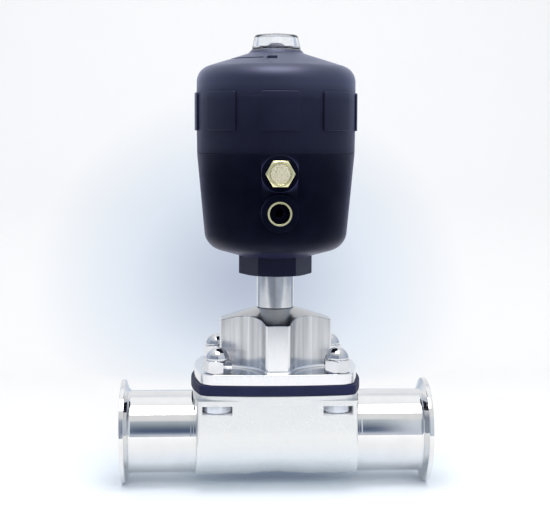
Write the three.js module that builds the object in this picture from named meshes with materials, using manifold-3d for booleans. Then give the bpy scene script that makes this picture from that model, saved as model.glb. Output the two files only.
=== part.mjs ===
// A 2 inch sanitary diaphragm valve with a spring-return pneumatic actuator.
//
// Millimetres, +Z up the spindle, +X along the pipe. The origin is where the pipe axis
// crosses the spindle axis. The air ports face -Y. The valve is shown closed, as its
// springs leave it with no air.

import * as THREE from "three";
import { mergeVertices } from "three/addons/utils/BufferGeometryUtils.js";
import Module from "manifold-3d";

const wasm = await Module();
wasm.setup();

// ---------------------------------------------------------------- driving dimensions

const FULL_TURN = 2 * Math.PI;
const GAP = 0.3; // clearance left between pieces that are cut to fit each other
const FACE_GAP = 0.05; // clearance between flat faces that lie on each other
const PAST = 1; // how far a cutting shape reaches past what it cuts

// How many sides the round pieces have, by size.
const SIDES = { large: 40, middle: 28, small: 16, pin: 12 };

const FACE_TO_FACE = 190; // between the two clamp faces
const TUBE = { radius: 25.4, wall: 1.5, weldX: 46 }; // weldX is how far in the tubes reach
const BORE_RADIUS = TUBE.radius - TUBE.wall;
const FERRULE = { radius: 32, rim: 2.85, slope: THREE.MathUtils.degToRad(20), fillet: 2 };
const GASKET_GROOVE = { radius: 28.15, halfWidth: 1.6, depth: 1.6, fillet: 0.8 };

// The three flanges share one outline: bowed sides and fronts that meet in round corners.
const BOW = { side: 108, front: 290, corner: 10 };
const FLANGE = { halfX: 51, halfY: 38.3, bottom: 23.1, top: 29.2 };
const DIAPHRAGM = { halfX: 52, halfY: 38.8, corner: 3, thick: 6.1 };
const BONNET_PLATE = { halfX: 50, halfY: 38, bottom: FLANGE.top + DIAPHRAGM.thick, top: 41.9 };

// The block under the body's flange has bowed ends; its underside curves in below curveZ.
const BLOCK = { halfX: 49.8, halfY: 37.6, bow: 350, corner: 2, bottom: -26.3, curveZ: 8, top: 26.3 };
const SADDLE = { rise: 1.2, halfLength: 18 }; // shallow hollow under the weir
const WEIR = { halfY: 28, depth: 25, run: 36 }; // depth is from the flange face to the crest

const BOWL = { x: 26, y: 27.7, z: 24.6, wall: 4 };
const STUD_BOSS = { radius: 8, bottom: 6.6, top: 13 };
const STUD = { radius: 3, head: 6, bottom: 6.9, headTop: 9.3, top: 23 };
const COMPRESSOR = { x: 13, y: 18, top: 27, hub: 10, hubTop: 50, socket: 38, pinZ: 44 };
const CROSS_PIN = { radius: 2, halfLength: 9.8 };

const BOLT = { x: 36, y: 27, radius: 5, hole: 5.4, reach: 27.8 };
const HEX_FLATS = 15.2;
const HEX_CORNER = 9; // more than a hexagon reaches, so only its chamfer cuts
const HEAD = { height: 5.3, flat: 7.3, pocket: 9.1, pocketFloor: 17.5 };
const NUT = { hex: 7.8, flat: 7.4, height: 15.1, dome: 7.3, thread: 10.5 };

// The hub is a square cross, scooped out round the nuts, under a shallow cone.
const HUB = { arm: 34.3, scoopCentre: 40, scoop: 33.3, top: 77.9, coneRadius: 11.7, coneDrop: 0.315 };
const BONNET_ROOM = { mouth: 26, throat: 20, throatZ: 39.3, guide: 13.5, guideTop: 64 };

const SPINDLE_TUBE = { radius: 11.5, spigot: 9.5, thread: 10, bore: 6.6, counterbore: 8.6 };
const TUBE_Z = { bottom: 66, bush: 75, packing: 113, top: 128 };
const SPINDLE = { radius: 6, pistonSeat: 5, stem: 4, stemBottom: 164, top: 208 };
const SLEEVES = { bush: [66.3, 74.8], packing: [113.2, 120], gland: [120.2, 127.8] };
const TUBE_NUT = { flats: 27, top: 127 };

const NECK = { flats: 39.1, bottom: 98.3, bore: 11.9, top: 111.5, step: 112 };
const NECK_LEDGE = { inner: 20, innerZ: 109, outer: 22.6, outerZ: 110.1 };
const BELL_FOOT = { radius: 42.9, z: 115.8, fillet: 12 };
const HOUSING = { radius: 48.1, floor: 120, cylinder: 39.5, seam: 172.2, top: 182 };
const COVER = { radius: 48.2, inside: 43.9, shoulder: 14, ceiling: 219.5, ceilingRadius: 36, wallTop: 212 };
const DOME = { foot: 17, z: 232.4, slope: 0.315, fillet: 2 };
const COLLAR = { radius: 15.3, top: 234.4 };
const CAP_SOCKET = { radius: 12.2, floor: 226 };

// Angles of the pads and spanner hollows are degrees from -Y towards -X.
const PADS = { count: 8, halfAngle: 13.5, radius: 49.5, bottom: 185.9, top: 208.6 };
const SPANNER_ARC = { radius: 28.8, halfWidth: 1.2, from: 18, to: 100, depth: 1.2 };
const SPANNER_POCKET = { radius: 28.4, halfWidth: 3.2, from: 1.5, to: 14, depth: 2 };

const PORTS = { face: 48.3, radius: 10.75, ventZ: 161.2, airZ: 138 };
const DRILLINGS = { vent: { rise: 3, radius: 2 }, air: { rise: 0, radius: 2.5 } };
const INSERT = { radius: 7.25, thread: 5.72, mouth: 6.1, chamfer: 0.4, length: 7, inset: 0.1 };
const SILENCER = { flats: 14.9, head: 4.5, flat: 7.6, disc: 6, shank: 6.5, bore: 3.5 };
const SILENCER_DISC = { bottom: 2.8, top: 4.1 };

const TUBE_RING = { groove: 14.2, bottom: 103.3, top: 106.3, radius: 12.85, thick: 1.15 };
const SEAM_RING = { groove: 41.9, bottom: 175.6, top: 178.2, radius: 42.85, thick: 0.85 };
const CAP_RING = { groove: 1.1, bottom: 229.6, top: 231.4, radius: 11.55, thick: 0.55 };

const PISTON = { bottom: 143, top: 152, radius: 39, bore: 5.3, hub: 12, rim: 32, web: 147 };
const PISTON_GROOVE = { depth: 3.2, lip: 2.2 };
const SEAL = { inner: 36.1, edge: 38.6, waist: 39, bottom: 145.5, top: 149.5, lip: 1.6 };
const PISTON_WASHER = { radius: 9.5, top: 153.8 };
const PISTON_NUT = { flats: 16, bottom: 153.9, top: 161.5 };
const SPRING_TOP = 217;
const OUTER_SPRING = { radius: 28, wire: 2.6, turns: 6 };
const INNER_SPRING = { radius: 17, wire: 1.8, turns: 8 };
const SPRING_SEAT = { inner: 8, outer: 34 };
const STEPS_PER_COIL = 11;
const COIL_CLOSING = 0.4; // how much closer the coils lie at the two ends

const PIN = { radius: 2.7, top: 231.6, fillet: 1 };
const GUIDE = { flange: 8.6, bottom: 226.2, flangeTop: 228.4, neck: 5.6, dome: 6.9, top: 238 };
const CAP = {
  spigotBottom: 227,
  boreBottom: 9.8,
  boreKnee: 10.8,
  boreTop: 10.4,
  ceiling: 242.1,
  rim: 14.8,
  kneeZ: 236,
  knee: 14.7,
  shoulder: 13.1,
  shoulderZ: 243.6,
  fillet: 1.6,
  top: 244.05,
};

// ---------------------------------------------------------------- materials

const metal = (color, roughness) => new THREE.MeshStandardMaterial({ color, roughness, metalness: 1 });
const plastic = (color, roughness) => new THREE.MeshStandardMaterial({ color, roughness, metalness: 0 });

const polishedSteel = metal(0xd5d8dc, 0.18);
const satinSteel = metal(0xc0c4c8, 0.35);
const springSteel = metal(0x8d9196, 0.4);
const brass = metal(0xd9c88f, 0.3);
const bronze = metal(0xc9ba8c, 0.7);
const aluminium = metal(0xb9bcc0, 0.45);
const blackPlastic = plastic(0x14161f, 0.55);
const blackRubber = plastic(0x1a1b26, 0.75);
const whitePtfe = plastic(0xe9e7df, 0.5);
const yellowPlastic = plastic(0xe8a91a, 0.4);
const clearPlastic = new THREE.MeshStandardMaterial({
  color: 0xf2f5f8,
  roughness: 0.08,
  metalness: 0,
  transparent: true,
  opacity: 0.3,
});

// ---------------------------------------------------------------- shape helpers

function solidOf(geometry) {
  const plain = geometry.index ? geometry.toNonIndexed() : geometry.clone();
  plain.deleteAttribute("normal");
  plain.deleteAttribute("uv");
  const merged = mergeVertices(plain, 1e-4);
  const corners = merged.index.array;
  const triVerts = [];
  for (let i = 0; i < corners.length; i += 3) {
    const [a, b, c] = corners.subarray(i, i + 3);
    if (a !== b && b !== c && a !== c) triVerts.push(a, b, c);
  }
  return new wasm.Manifold(
    new wasm.Mesh({
      numProp: 3,
      vertProperties: merged.attributes.position.array,
      triVerts: new Uint32Array(triVerts),
    }),
  );
}

function geometryOf(solid) {
  const mesh = solid.getMesh();
  const geometry = new THREE.BufferGeometry();
  geometry.setAttribute("position", new THREE.BufferAttribute(mesh.vertProperties, 3));
  geometry.setIndex(new THREE.BufferAttribute(mesh.triVerts, 1));
  const faceted = geometry.toNonIndexed();
  faceted.computeVertexNormals();
  return faceted;
}

const join = (first, ...others) => others.reduce((sum, next) => sum.add(next), first);
const cut = (first, ...others) => others.reduce((rest, next) => rest.subtract(next), first);
const countTo = (count) => [...Array(count).keys()];

// The corners [x, y, radius] as points, with each corner that has a radius turned into an arc.
function rounded(corners, steps) {
  const points = [];
  corners.forEach(([x, y, radius], i) => {
    const corner = new THREE.Vector2(x, y);
    if (!radius) {
      points.push(corner);
      return;
    }
    const [px, py] = corners[(i + corners.length - 1) % corners.length];
    const [nx, ny] = corners[(i + 1) % corners.length];
    const back = new THREE.Vector2(px, py).sub(corner).normalize();
    const ahead = new THREE.Vector2(nx, ny).sub(corner).normalize();
    const half = Math.acos(THREE.MathUtils.clamp(back.dot(ahead), -1, 1)) / 2;
    const bisector = back.clone().add(ahead).normalize();
    const centre = bisector.multiplyScalar(radius / Math.sin(half)).add(corner);
    const start = back.multiplyScalar(radius / Math.tan(half)).add(corner).sub(centre);
    const end = ahead.multiplyScalar(radius / Math.tan(half)).add(corner).sub(centre);
    const turn = Math.atan2(start.cross(end), start.dot(end));
    for (let k = 0; k <= steps; k++)
      points.push(start.clone().rotateAround(new THREE.Vector2(), (turn * k) / steps).add(centre));
  });
  return points;
}

// A solid turned about +Z from a closed profile of [radius, z, fillet] corners.
function turned(corners, sides = SIDES.large) {
  const points = rounded(corners, 2);
  if (THREE.ShapeUtils.area(points) < 0) points.reverse();
  const onAxis = points.findIndex((p, i) => p.x === 0 && points[(i + 1) % points.length].x === 0);
  const start = onAxis < 0 ? 0 : (onAxis + 1) % points.length;
  const loop = [...points.slice(start), ...points.slice(0, start)];
  if (onAxis < 0) loop.push(loop[0].clone());
  return solidOf(new THREE.LatheGeometry(loop, sides).rotateX(Math.PI / 2));
}

const alongX = (solid) => solid.rotate([0, 90, 0]);
const alongMinusY = (solid) => solid.rotate([90, 0, 0]);
const facing = (solid, side) => solid.rotate([0, 0, side < 0 ? 180 : 0]);

function disc(radius, bottom, top, sides = SIDES.small) {
  return turned([[0, bottom], [radius, bottom], [radius, top], [0, top]], sides);
}

function ring(inner, outer, bottom, top, sides = SIDES.large) {
  return turned([[inner, bottom], [outer, bottom], [outer, top], [inner, top]], sides);
}

function prism(points, bottom, top) {
  const outline = THREE.ShapeUtils.area(points) < 0 ? [...points].reverse() : points;
  const depth = top - bottom;
  const geometry = new THREE.ExtrudeGeometry(new THREE.Shape(outline), { depth, bevelEnabled: false });
  return solidOf(geometry.translate(0, 0, bottom));
}

function hexagon(flats, bottom, top) {
  const corners = arc(new THREE.Vector2(), flats / Math.sqrt(3), 0, FULL_TURN, 6);
  return prism(corners.slice(1), bottom, top);
}

function block(low, high) {
  const size = high.map((h, i) => h - low[i]);
  const centre = high.map((h, i) => (h + low[i]) / 2);
  return solidOf(new THREE.BoxGeometry(...size).translate(...centre));
}

function ellipsoid(x, y, z, centreZ) {
  return solidOf(new THREE.SphereGeometry(1, 24, 12).scale(x, y, z).translate(0, 0, centreZ));
}

function sealRing({ radius, thick, bottom, top }, sides) {
  const z = (bottom + top) / 2;
  return solidOf(new THREE.TorusGeometry(radius, thick, 6, sides).translate(0, 0, z));
}

function arc(centre, radius, from, to, steps) {
  return countTo(steps + 1).map((k) => {
    const angle = from + ((to - from) * k) / steps;
    return new THREE.Vector2(Math.cos(angle), Math.sin(angle)).multiplyScalar(radius).add(centre);
  });
}

// The flanges' outline: each bowed side runs into the bowed front through a round corner.
function bowedOutline(halfX, halfY, corner = BOW.corner) {
  const side = new THREE.Vector2(halfX - BOW.side, 0);
  const front = new THREE.Vector2(0, halfY - BOW.front);
  const between = front.clone().sub(side);
  const distance = between.length();
  const [sideReach, frontReach] = [BOW.side - corner, BOW.front - corner];
  const along = (distance ** 2 + sideReach ** 2 - frontReach ** 2) / (2 * distance);
  const across = Math.sqrt(sideReach ** 2 - along ** 2);
  between.normalize();
  const centre = side
    .clone()
    .addScaledVector(between, along)
    .add(new THREE.Vector2(-between.y, between.x).multiplyScalar(across));
  const sideEnd = centre.clone().sub(side).angle();
  const frontEnd = centre.clone().sub(front).angle();
  const quarter = [
    ...arc(side, BOW.side, 0, sideEnd, 3),
    ...arc(centre, corner, sideEnd, frontEnd, 5).slice(1),
    ...arc(front, BOW.front, frontEnd, Math.PI / 2, 3).slice(1),
  ];
  const half = [...quarter, ...quarter.slice(0, -1).reverse().map((p) => new THREE.Vector2(-p.x, p.y))];
  return [...half, ...half.slice(1, -1).reverse().map((p) => new THREE.Vector2(p.x, -p.y))];
}

// A block between two radii and two angles, measured in degrees from -Y towards -X.
function sector(inner, outer, from, to, bottom, top) {
  const angle = (degrees) => THREE.MathUtils.degToRad(-90 - degrees);
  const origin = new THREE.Vector2();
  const outside = arc(origin, outer, angle(to), angle(from), 6);
  const inside = arc(origin, inner, angle(from), angle(to), 6);
  return prism([...outside, ...inside], bottom, top);
}

const BOLT_PLACES = [[-1, -1], [1, -1], [1, 1], [-1, 1]].map(([x, y]) => [x * BOLT.x, y * BOLT.y]);

const boltHoles = (bottom, top) =>
  BOLT_PLACES.map(([x, y]) => disc(BOLT.hole, bottom, top).translate([x, y, 0]));

// ---------------------------------------------------------------- valve body and pipe ends

// The flow path: a round bore that climbs over the weir and opens into the flange face.
function flowPassage() {
  const stations = 16;
  const sides = SIDES.middle;
  const end = BLOCK.halfX + 2 * PAST;
  const positions = [];
  for (let i = 0; i <= stations; i++) {
    const x = -end + (2 * end * i) / stations;
    const run = Math.min(Math.abs(x) / WEIR.run, 1);
    const settled = run * run * (3 - 2 * run);
    const centre = THREE.MathUtils.lerp(FLANGE.top, 0, settled);
    const halfY = THREE.MathUtils.lerp(WEIR.halfY, BORE_RADIUS, settled);
    const halfZ = THREE.MathUtils.lerp(WEIR.depth, BORE_RADIUS, settled);
    for (let k = 0; k < sides; k++) {
      const angle = (FULL_TURN * k) / sides;
      positions.push(x, halfY * Math.cos(angle), centre + halfZ * Math.sin(angle));
    }
  }
  positions.push(-end, 0, 0, end, 0, 0);
  const last = stations * sides;
  const [nearPole, farPole] = [last + sides, last + sides + 1];
  const index = [];
  for (let k = 0; k < sides; k++) {
    const next = (k + 1) % sides;
    for (let i = 0; i < stations; i++) {
      const [a, b] = [i * sides + k, i * sides + next];
      index.push(a, b + sides, a + sides, a, b, b + sides);
    }
    index.push(nearPole, next, k, farPole, last + k, last + next);
  }
  const geometry = new THREE.BufferGeometry();
  geometry.setAttribute("position", new THREE.BufferAttribute(new Float32Array(positions), 3));
  geometry.setIndex(index);
  return solidOf(geometry);
}

// The block's section across the pipe: upright walls over a curved underside.
function blockSection() {
  const steps = 14;
  const depth = BLOCK.curveZ - BLOCK.bottom;
  const curve = countTo(steps + 1).map((k) => {
    const angle = (Math.PI * k) / steps;
    const z = BLOCK.curveZ - depth * Math.sin(angle);
    return new THREE.Vector2(-z, BLOCK.halfY * Math.cos(angle));
  });
  return [
    new THREE.Vector2(-BLOCK.top, BLOCK.halfY),
    ...curve,
    new THREE.Vector2(-BLOCK.top, -BLOCK.halfY),
  ];
}

// The block's outline from above: two bowed ends between flat walls.
function blockOutline() {
  const steps = 3;
  const end = countTo(2 * steps + 1).map((k) => {
    const y = BLOCK.halfY * (k / steps - 1);
    const atCorner = k === 0 || k === 2 * steps;
    return [BLOCK.halfX - y ** 2 / (2 * BLOCK.bow), y, atCorner ? BLOCK.corner : 0];
  });
  return rounded([...end, ...end.map(([x, y, corner]) => [-x, -y, corner])], 2);
}

// The room round a bolt head, open towards the front or the back of the body.
function headPocket([x, y]) {
  const { pocket, pocketFloor } = HEAD;
  const reach = Math.sign(y) * BLOCK.halfY;
  const [low, high] = [Math.min(0, reach), Math.max(0, reach)];
  return join(
    disc(pocket, pocketFloor, FLANGE.bottom, SIDES.middle),
    block([-pocket, low, pocketFloor], [pocket, high, FLANGE.bottom]),
  ).translate([x, y, 0]);
}

function valveBody() {
  const reach = BLOCK.halfX + PAST;
  const block = alongX(prism(blockSection(), -reach, reach)).intersect(
    prism(blockOutline(), BLOCK.bottom - PAST, BLOCK.top + PAST),
  );
  const flange = prism(bowedOutline(FLANGE.halfX, FLANGE.halfY), FLANGE.bottom, FLANGE.top);
  const saddleRadius = SADDLE.halfLength ** 2 / (2 * SADDLE.rise);
  const saddle = disc(saddleRadius, -reach, reach, 2 * SIDES.large)
    .rotate([90, 0, 0])
    .translate([0, 0, BLOCK.bottom + SADDLE.rise - saddleRadius]);
  const weldSocket = alongX(disc(TUBE.radius + 0.1, TUBE.weldX, BLOCK.halfX + 10, SIDES.large));
  return cut(
    join(cut(block, ...BOLT_PLACES.map(headPocket)), flange),
    saddle,
    flowPassage(),
    ...[-1, 1].map((side) => facing(weldSocket, side)),
    ...boltHoles(HEAD.pocketFloor - PAST, FLANGE.top + PAST),
  );
}

// A tube with a clamp ferrule on its end, reaching in +X.
function ferrule() {
  const face = FACE_TO_FACE / 2;
  const weld = TUBE.weldX + GAP;
  const back = face - FERRULE.rim;
  const slopeFoot = back - (FERRULE.radius - TUBE.radius) * Math.tan(FERRULE.slope);
  const { radius, halfWidth, depth, fillet } = GASKET_GROOVE;
  return alongX(
    turned([
      [BORE_RADIUS, weld],
      [TUBE.radius, weld],
      [TUBE.radius, slopeFoot, FERRULE.fillet],
      [FERRULE.radius, back],
      [FERRULE.radius, face],
      [radius + halfWidth, face],
      [radius, face - depth, fillet],
      [radius - halfWidth, face],
      [BORE_RADIUS, face],
    ]),
  );
}

// ---------------------------------------------------------------- diaphragm and what drives it

function diaphragm() {
  const { halfX, halfY, corner } = DIAPHRAGM;
  const outline = bowedOutline(halfX, halfY, corner);
  const plate = prism(outline, FLANGE.top + FACE_GAP, BONNET_PLATE.bottom - FACE_GAP);
  const below = block([-halfX, -halfY, 0], [halfX, halfY, FLANGE.top + PAST]);
  const bowl = ellipsoid(BOWL.x, BOWL.y, BOWL.z, FLANGE.top).intersect(below);
  const [insideX, insideY, insideZ] = [BOWL.x, BOWL.y, BOWL.z].map((half) => half - BOWL.wall);
  const inside = ellipsoid(insideX, insideY, insideZ, FLANGE.top);
  const throat = disc(1, FLANGE.top, BONNET_PLATE.bottom + PAST, SIDES.middle);
  const boss = disc(STUD_BOSS.radius, STUD_BOSS.bottom, STUD_BOSS.top);
  return cut(
    join(cut(join(plate, bowl), inside, throat.scale([insideX, insideY, 1])), boss),
    disc(STUD.radius + GAP, STUD.bottom, STUD_BOSS.top + PAST),
    disc(STUD.head + GAP, STUD_BOSS.bottom, STUD.headTop + GAP),
    ...boltHoles(FLANGE.top - PAST, BONNET_PLATE.bottom + PAST),
  );
}

function diaphragmStud() {
  return join(
    disc(STUD.head, STUD.bottom, STUD.headTop),
    disc(STUD.radius, STUD.bottom, STUD.top),
  );
}

function crossPin(clearance) {
  const reach = CROSS_PIN.halfLength + clearance;
  return alongX(disc(CROSS_PIN.radius + clearance, -reach, reach, SIDES.pin)).translate([
    0,
    0,
    COMPRESSOR.pinZ,
  ]);
}

// The pressure piece: a bar that follows the weir and pushes the diaphragm down on it.
function compressor() {
  const [x, y, z] = [BOWL.x, BOWL.y, BOWL.z].map((half) => half - BOWL.wall - GAP);
  const bar = block([-COMPRESSOR.x, -COMPRESSOR.y, 0], [COMPRESSOR.x, COMPRESSOR.y, COMPRESSOR.top]);
  const pad = ellipsoid(x, y, z, FLANGE.top).intersect(bar);
  return cut(
    join(pad, disc(COMPRESSOR.hub, COMPRESSOR.top - PAST, COMPRESSOR.hubTop)),
    disc(STUD_BOSS.radius + GAP, 0, STUD_BOSS.top + GAP),
    disc(STUD.radius + GAP, 0, STUD.top + GAP),
    disc(SPINDLE.radius + GAP, COMPRESSOR.socket, COMPRESSOR.hubTop + PAST),
    crossPin(GAP),
  );
}

function spindle() {
  const bottom = COMPRESSOR.socket + GAP;
  const shoulder = PISTON.bottom - FACE_GAP;
  const body = join(
    disc(SPINDLE.radius, bottom, shoulder),
    disc(SPINDLE.pistonSeat, bottom, SPINDLE.stemBottom),
    disc(SPINDLE.stem, bottom, SPINDLE.top),
  );
  return cut(body, crossPin(GAP));
}

// ---------------------------------------------------------------- bonnet

// The hub's plan: a square cross whose four corners are scooped out round the nuts.
function hubOutline() {
  const { arm, scoopCentre, scoop } = HUB;
  const half = scoopCentre - Math.sqrt(scoop ** 2 - (scoopCentre - arm) ** 2);
  const from = Math.atan2(half - scoopCentre, arm - scoopCentre);
  const to = Math.atan2(arm - scoopCentre, half - scoopCentre);
  const clockwise = to > from ? to - FULL_TURN : to;
  const hollow = arc(new THREE.Vector2(scoopCentre, scoopCentre), scoop, from, clockwise, 9);
  return countTo(4).flatMap((k) =>
    hollow.map((p) => p.clone().rotateAround(new THREE.Vector2(), (k * Math.PI) / 2)),
  );
}

function bonnet() {
  const { top, coneRadius, coneDrop } = HUB;
  const { halfX, halfY, bottom } = BONNET_PLATE;
  const cone = turned([
    [0, bottom],
    [halfX, bottom],
    [halfX, top - (halfX - coneRadius) * coneDrop],
    [coneRadius, top],
    [0, top],
  ]);
  const hub = prism(hubOutline(), BONNET_PLATE.top - PAST, top + PAST).intersect(cone);
  const { mouth, throat, throatZ, guide, guideTop } = BONNET_ROOM;
  const spigot = SPINDLE_TUBE.spigot + GAP;
  const room = turned([
    [0, bottom - PAST],
    [mouth, bottom - PAST],
    [mouth, bottom],
    [throat, throatZ],
    [guide, throatZ],
    [guide, guideTop],
    [spigot, guideTop],
    [spigot, top + PAST],
    [0, top + PAST],
  ]);
  const plate = prism(bowedOutline(halfX, halfY), bottom, BONNET_PLATE.top);
  return cut(join(plate, hub), room, ...boltHoles(bottom - PAST, BONNET_PLATE.top + PAST));
}

// ---------------------------------------------------------------- fasteners, each about its own axis

// A round blank whose chamfered end takes the corners off a hexagon.
function chamferBlank(flat, end, other) {
  const chamfer = Math.sign(other - end);
  return turned(
    [[0, end], [flat, end], [HEX_CORNER, end + chamfer], [HEX_CORNER, other], [0, other]],
    SIDES.small,
  );
}

// The bolt's origin is on the underside of the body flange.
function flangeBolt() {
  const top = -FACE_GAP;
  const head = hexagon(HEX_FLATS, -HEAD.height, top).intersect(chamferBlank(HEAD.flat, -HEAD.height, top));
  return join(head, disc(BOLT.radius, top - PAST, BOLT.reach));
}

// The nut's origin is on its seat.
function capNut() {
  const { hex, height, dome, thread } = NUT;
  const body = hexagon(HEX_FLATS, FACE_GAP, hex).intersect(chamferBlank(NUT.flat, hex, 0));
  const crown = solidOf(
    new THREE.SphereGeometry(dome, SIDES.small, 8).rotateX(Math.PI / 2).translate(0, 0, height - dome),
  );
  const above = disc(HEX_CORNER, hex - PAST, height + PAST);
  return cut(join(body, crown.intersect(above)), disc(BOLT.radius + GAP, -PAST, thread));
}

// ---------------------------------------------------------------- spindle tube and its seals

function spindleTube() {
  const { radius, spigot, thread, bore, counterbore } = SPINDLE_TUBE;
  const shoulder = NECK.step - GAP;
  const seat = HUB.top + FACE_GAP;
  return turned(
    [
      [counterbore, TUBE_Z.bottom],
      [spigot, TUBE_Z.bottom],
      [spigot, seat],
      [radius, seat],
      [radius, shoulder],
      [thread, shoulder],
      [thread, TUBE_Z.top],
      [counterbore, TUBE_Z.top],
      [counterbore, TUBE_Z.packing],
      [bore, TUBE_Z.packing],
      [bore, TUBE_Z.bush],
      [counterbore, TUBE_Z.bush],
    ],
    SIDES.middle,
  );
}

const sleeve = ([bottom, top]) =>
  ring(SPINDLE.radius + 0.15, SPINDLE_TUBE.counterbore - 0.2, bottom, top, SIDES.small);

function tubeNut() {
  return cut(
    hexagon(TUBE_NUT.flats, HOUSING.floor + FACE_GAP, TUBE_NUT.top),
    disc(SPINDLE_TUBE.thread + GAP, HOUSING.floor - PAST, TUBE_Z.top, SIDES.large),
  );
}

// ---------------------------------------------------------------- actuator housing and cover

// The room for a brass insert, and the drilling behind it into the cylinder.
function portRoom(z, { rise, radius }) {
  const socket = disc(INSERT.radius + 0.15, -INSERT.length - 0.2, 5, SIDES.middle);
  const cylinder = HOUSING.cylinder - PORTS.face;
  const drilling = disc(radius, cylinder - 2 * PAST, 0, SIDES.pin).translate([0, rise, 0]);
  return alongMinusY(join(socket, drilling).translate([0, 0, PORTS.face])).translate([0, 0, z]);
}

function portBoss(z) {
  return alongMinusY(disc(PORTS.radius, HOUSING.cylinder + 2, PORTS.face, SIDES.large)).translate([0, 0, z]);
}

function actuatorHousing() {
  const spigot = COVER.inside - 0.5;
  const thread = SPINDLE_TUBE.thread + GAP;
  const bell = turned([
    [NECK.bore, NECK_LEDGE.innerZ],
    [NECK_LEDGE.inner, NECK_LEDGE.innerZ],
    [NECK_LEDGE.outer, NECK_LEDGE.outerZ],
    [BELL_FOOT.radius, BELL_FOOT.z, BELL_FOOT.fillet],
    [HOUSING.radius, HOUSING.seam],
    [spigot, HOUSING.seam],
    [spigot, SEAM_RING.bottom],
    [SEAM_RING.groove, SEAM_RING.bottom],
    [SEAM_RING.groove, SEAM_RING.top],
    [spigot, SEAM_RING.top],
    [spigot, HOUSING.top],
    [HOUSING.cylinder, HOUSING.top],
    [HOUSING.cylinder, HOUSING.floor],
    [thread, HOUSING.floor],
    [thread, NECK.step],
    [NECK.bore, NECK.step],
  ]);
  const neck = cut(
    hexagon(NECK.flats, NECK.bottom, NECK.top),
    disc(NECK.bore, NECK.bottom - PAST, NECK.step, SIDES.large),
    ring(NECK.bore - PAST, TUBE_RING.groove, TUBE_RING.bottom, TUBE_RING.top),
  );
  return cut(
    join(bell, neck, portBoss(PORTS.ventZ), portBoss(PORTS.airZ)),
    portRoom(PORTS.ventZ, DRILLINGS.vent),
    portRoom(PORTS.airZ, DRILLINGS.air),
  );
}

const domeHeight = (radius) => DOME.z - (radius - DOME.foot) * DOME.slope;

// A recess in the sloping top of the cover, where a pin spanner turns it.
function spannerHollow({ radius, halfWidth, from, to, depth }, turn) {
  const floor = domeHeight(radius + halfWidth) - depth;
  const [inner, outer] = [radius - halfWidth, radius + halfWidth];
  return sector(inner, outer, turn + from, turn + to, floor, DOME.z);
}

function actuatorCover() {
  const pinHole = PIN.radius + GAP;
  const shell = turned([
    [COVER.inside, HOUSING.seam + 0.2],
    [COVER.radius, HOUSING.seam + 0.2],
    [COVER.radius, domeHeight(COVER.radius), COVER.shoulder],
    [DOME.foot, DOME.z, DOME.fillet],
    [COLLAR.radius, COLLAR.top],
    [CAP_SOCKET.radius, COLLAR.top],
    [CAP_SOCKET.radius, CAP_SOCKET.floor],
    [pinHole, CAP_SOCKET.floor],
    [pinHole, COVER.ceiling],
    [COVER.ceilingRadius, COVER.ceiling],
    [COVER.inside, COVER.wallTop],
  ]);
  const { count, halfAngle, radius, bottom, top } = PADS;
  const pads = countTo(count).map((k) => {
    const middle = (k * 360) / count;
    return sector(COVER.radius - 2, radius, middle - halfAngle, middle + halfAngle, bottom, top);
  });
  const hollows = [0, 180].flatMap((turn) => [
    spannerHollow(SPANNER_ARC, turn),
    spannerHollow(SPANNER_POCKET, turn),
  ]);
  return cut(join(shell, ...pads), ...hollows);
}

// ---------------------------------------------------------------- ports, cap and indicator

// The insert's origin is on the axis of its port, at its outer face.
function portInsert() {
  const { radius, thread, mouth, chamfer, length } = INSERT;
  return alongMinusY(
    turned([[thread, -length], [radius, -length], [radius, 0], [mouth, 0], [thread, -chamfer]], 20),
  );
}

function silencerBody() {
  const { flats, head, flat, shank, bore } = SILENCER;
  const hex = hexagon(flats, 2 * INSERT.inset, head).intersect(chamferBlank(flat, head, 0));
  const room = join(
    disc(SILENCER.disc + 0.2, SILENCER_DISC.bottom - 0.1, head + PAST),
    disc(bore, -shank - PAST, head),
  );
  return alongMinusY(cut(join(hex, disc(INSERT.thread - GAP, -shank, PAST)), room));
}

function silencerDisc() {
  return alongMinusY(disc(SILENCER.disc, SILENCER_DISC.bottom, SILENCER_DISC.top));
}

function clearCap() {
  const spigot = CAP_SOCKET.radius - 0.2;
  const groove = spigot - CAP_RING.groove;
  const seat = COLLAR.top + FACE_GAP;
  return turned(
    [
      [0, CAP.ceiling],
      [CAP.boreTop, CAP.ceiling, 1],
      [CAP.boreKnee, CAP.kneeZ],
      [CAP.boreBottom, CAP.spigotBottom],
      [spigot, CAP.spigotBottom],
      [spigot, CAP_RING.bottom],
      [groove, CAP_RING.bottom],
      [groove, CAP_RING.top],
      [spigot, CAP_RING.top],
      [spigot, seat],
      [CAP.rim, seat],
      [CAP.knee, CAP.kneeZ],
      [CAP.shoulder, CAP.shoulderZ, CAP.fillet],
      [0, CAP.top],
    ],
    SIDES.middle,
  );
}

// The guide stands still under the cap; the indicator pin rises through its rounded head.
function indicatorGuide() {
  const { flange, bottom, flangeTop, neck, dome, top } = GUIDE;
  const hole = PIN.radius + GAP;
  const centreZ = top - Math.sqrt(dome ** 2 - hole ** 2);
  const onDome = (radius) => [radius, centreZ + Math.sqrt(dome ** 2 - radius ** 2)];
  const head = countTo(4).map((k) => onDome(THREE.MathUtils.lerp(neck, hole, k / 3)));
  return turned(
    [[hole, bottom], [flange, bottom], [flange, flangeTop], [neck, flangeTop], ...head],
    SIDES.small,
  );
}

function indicatorPin() {
  const { radius, top, fillet } = PIN;
  const foot = SPINDLE.top + FACE_GAP;
  return turned([[0, foot], [radius, foot], [radius, top, fillet], [0, top]], SIDES.small);
}

// ---------------------------------------------------------------- piston and springs

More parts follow.
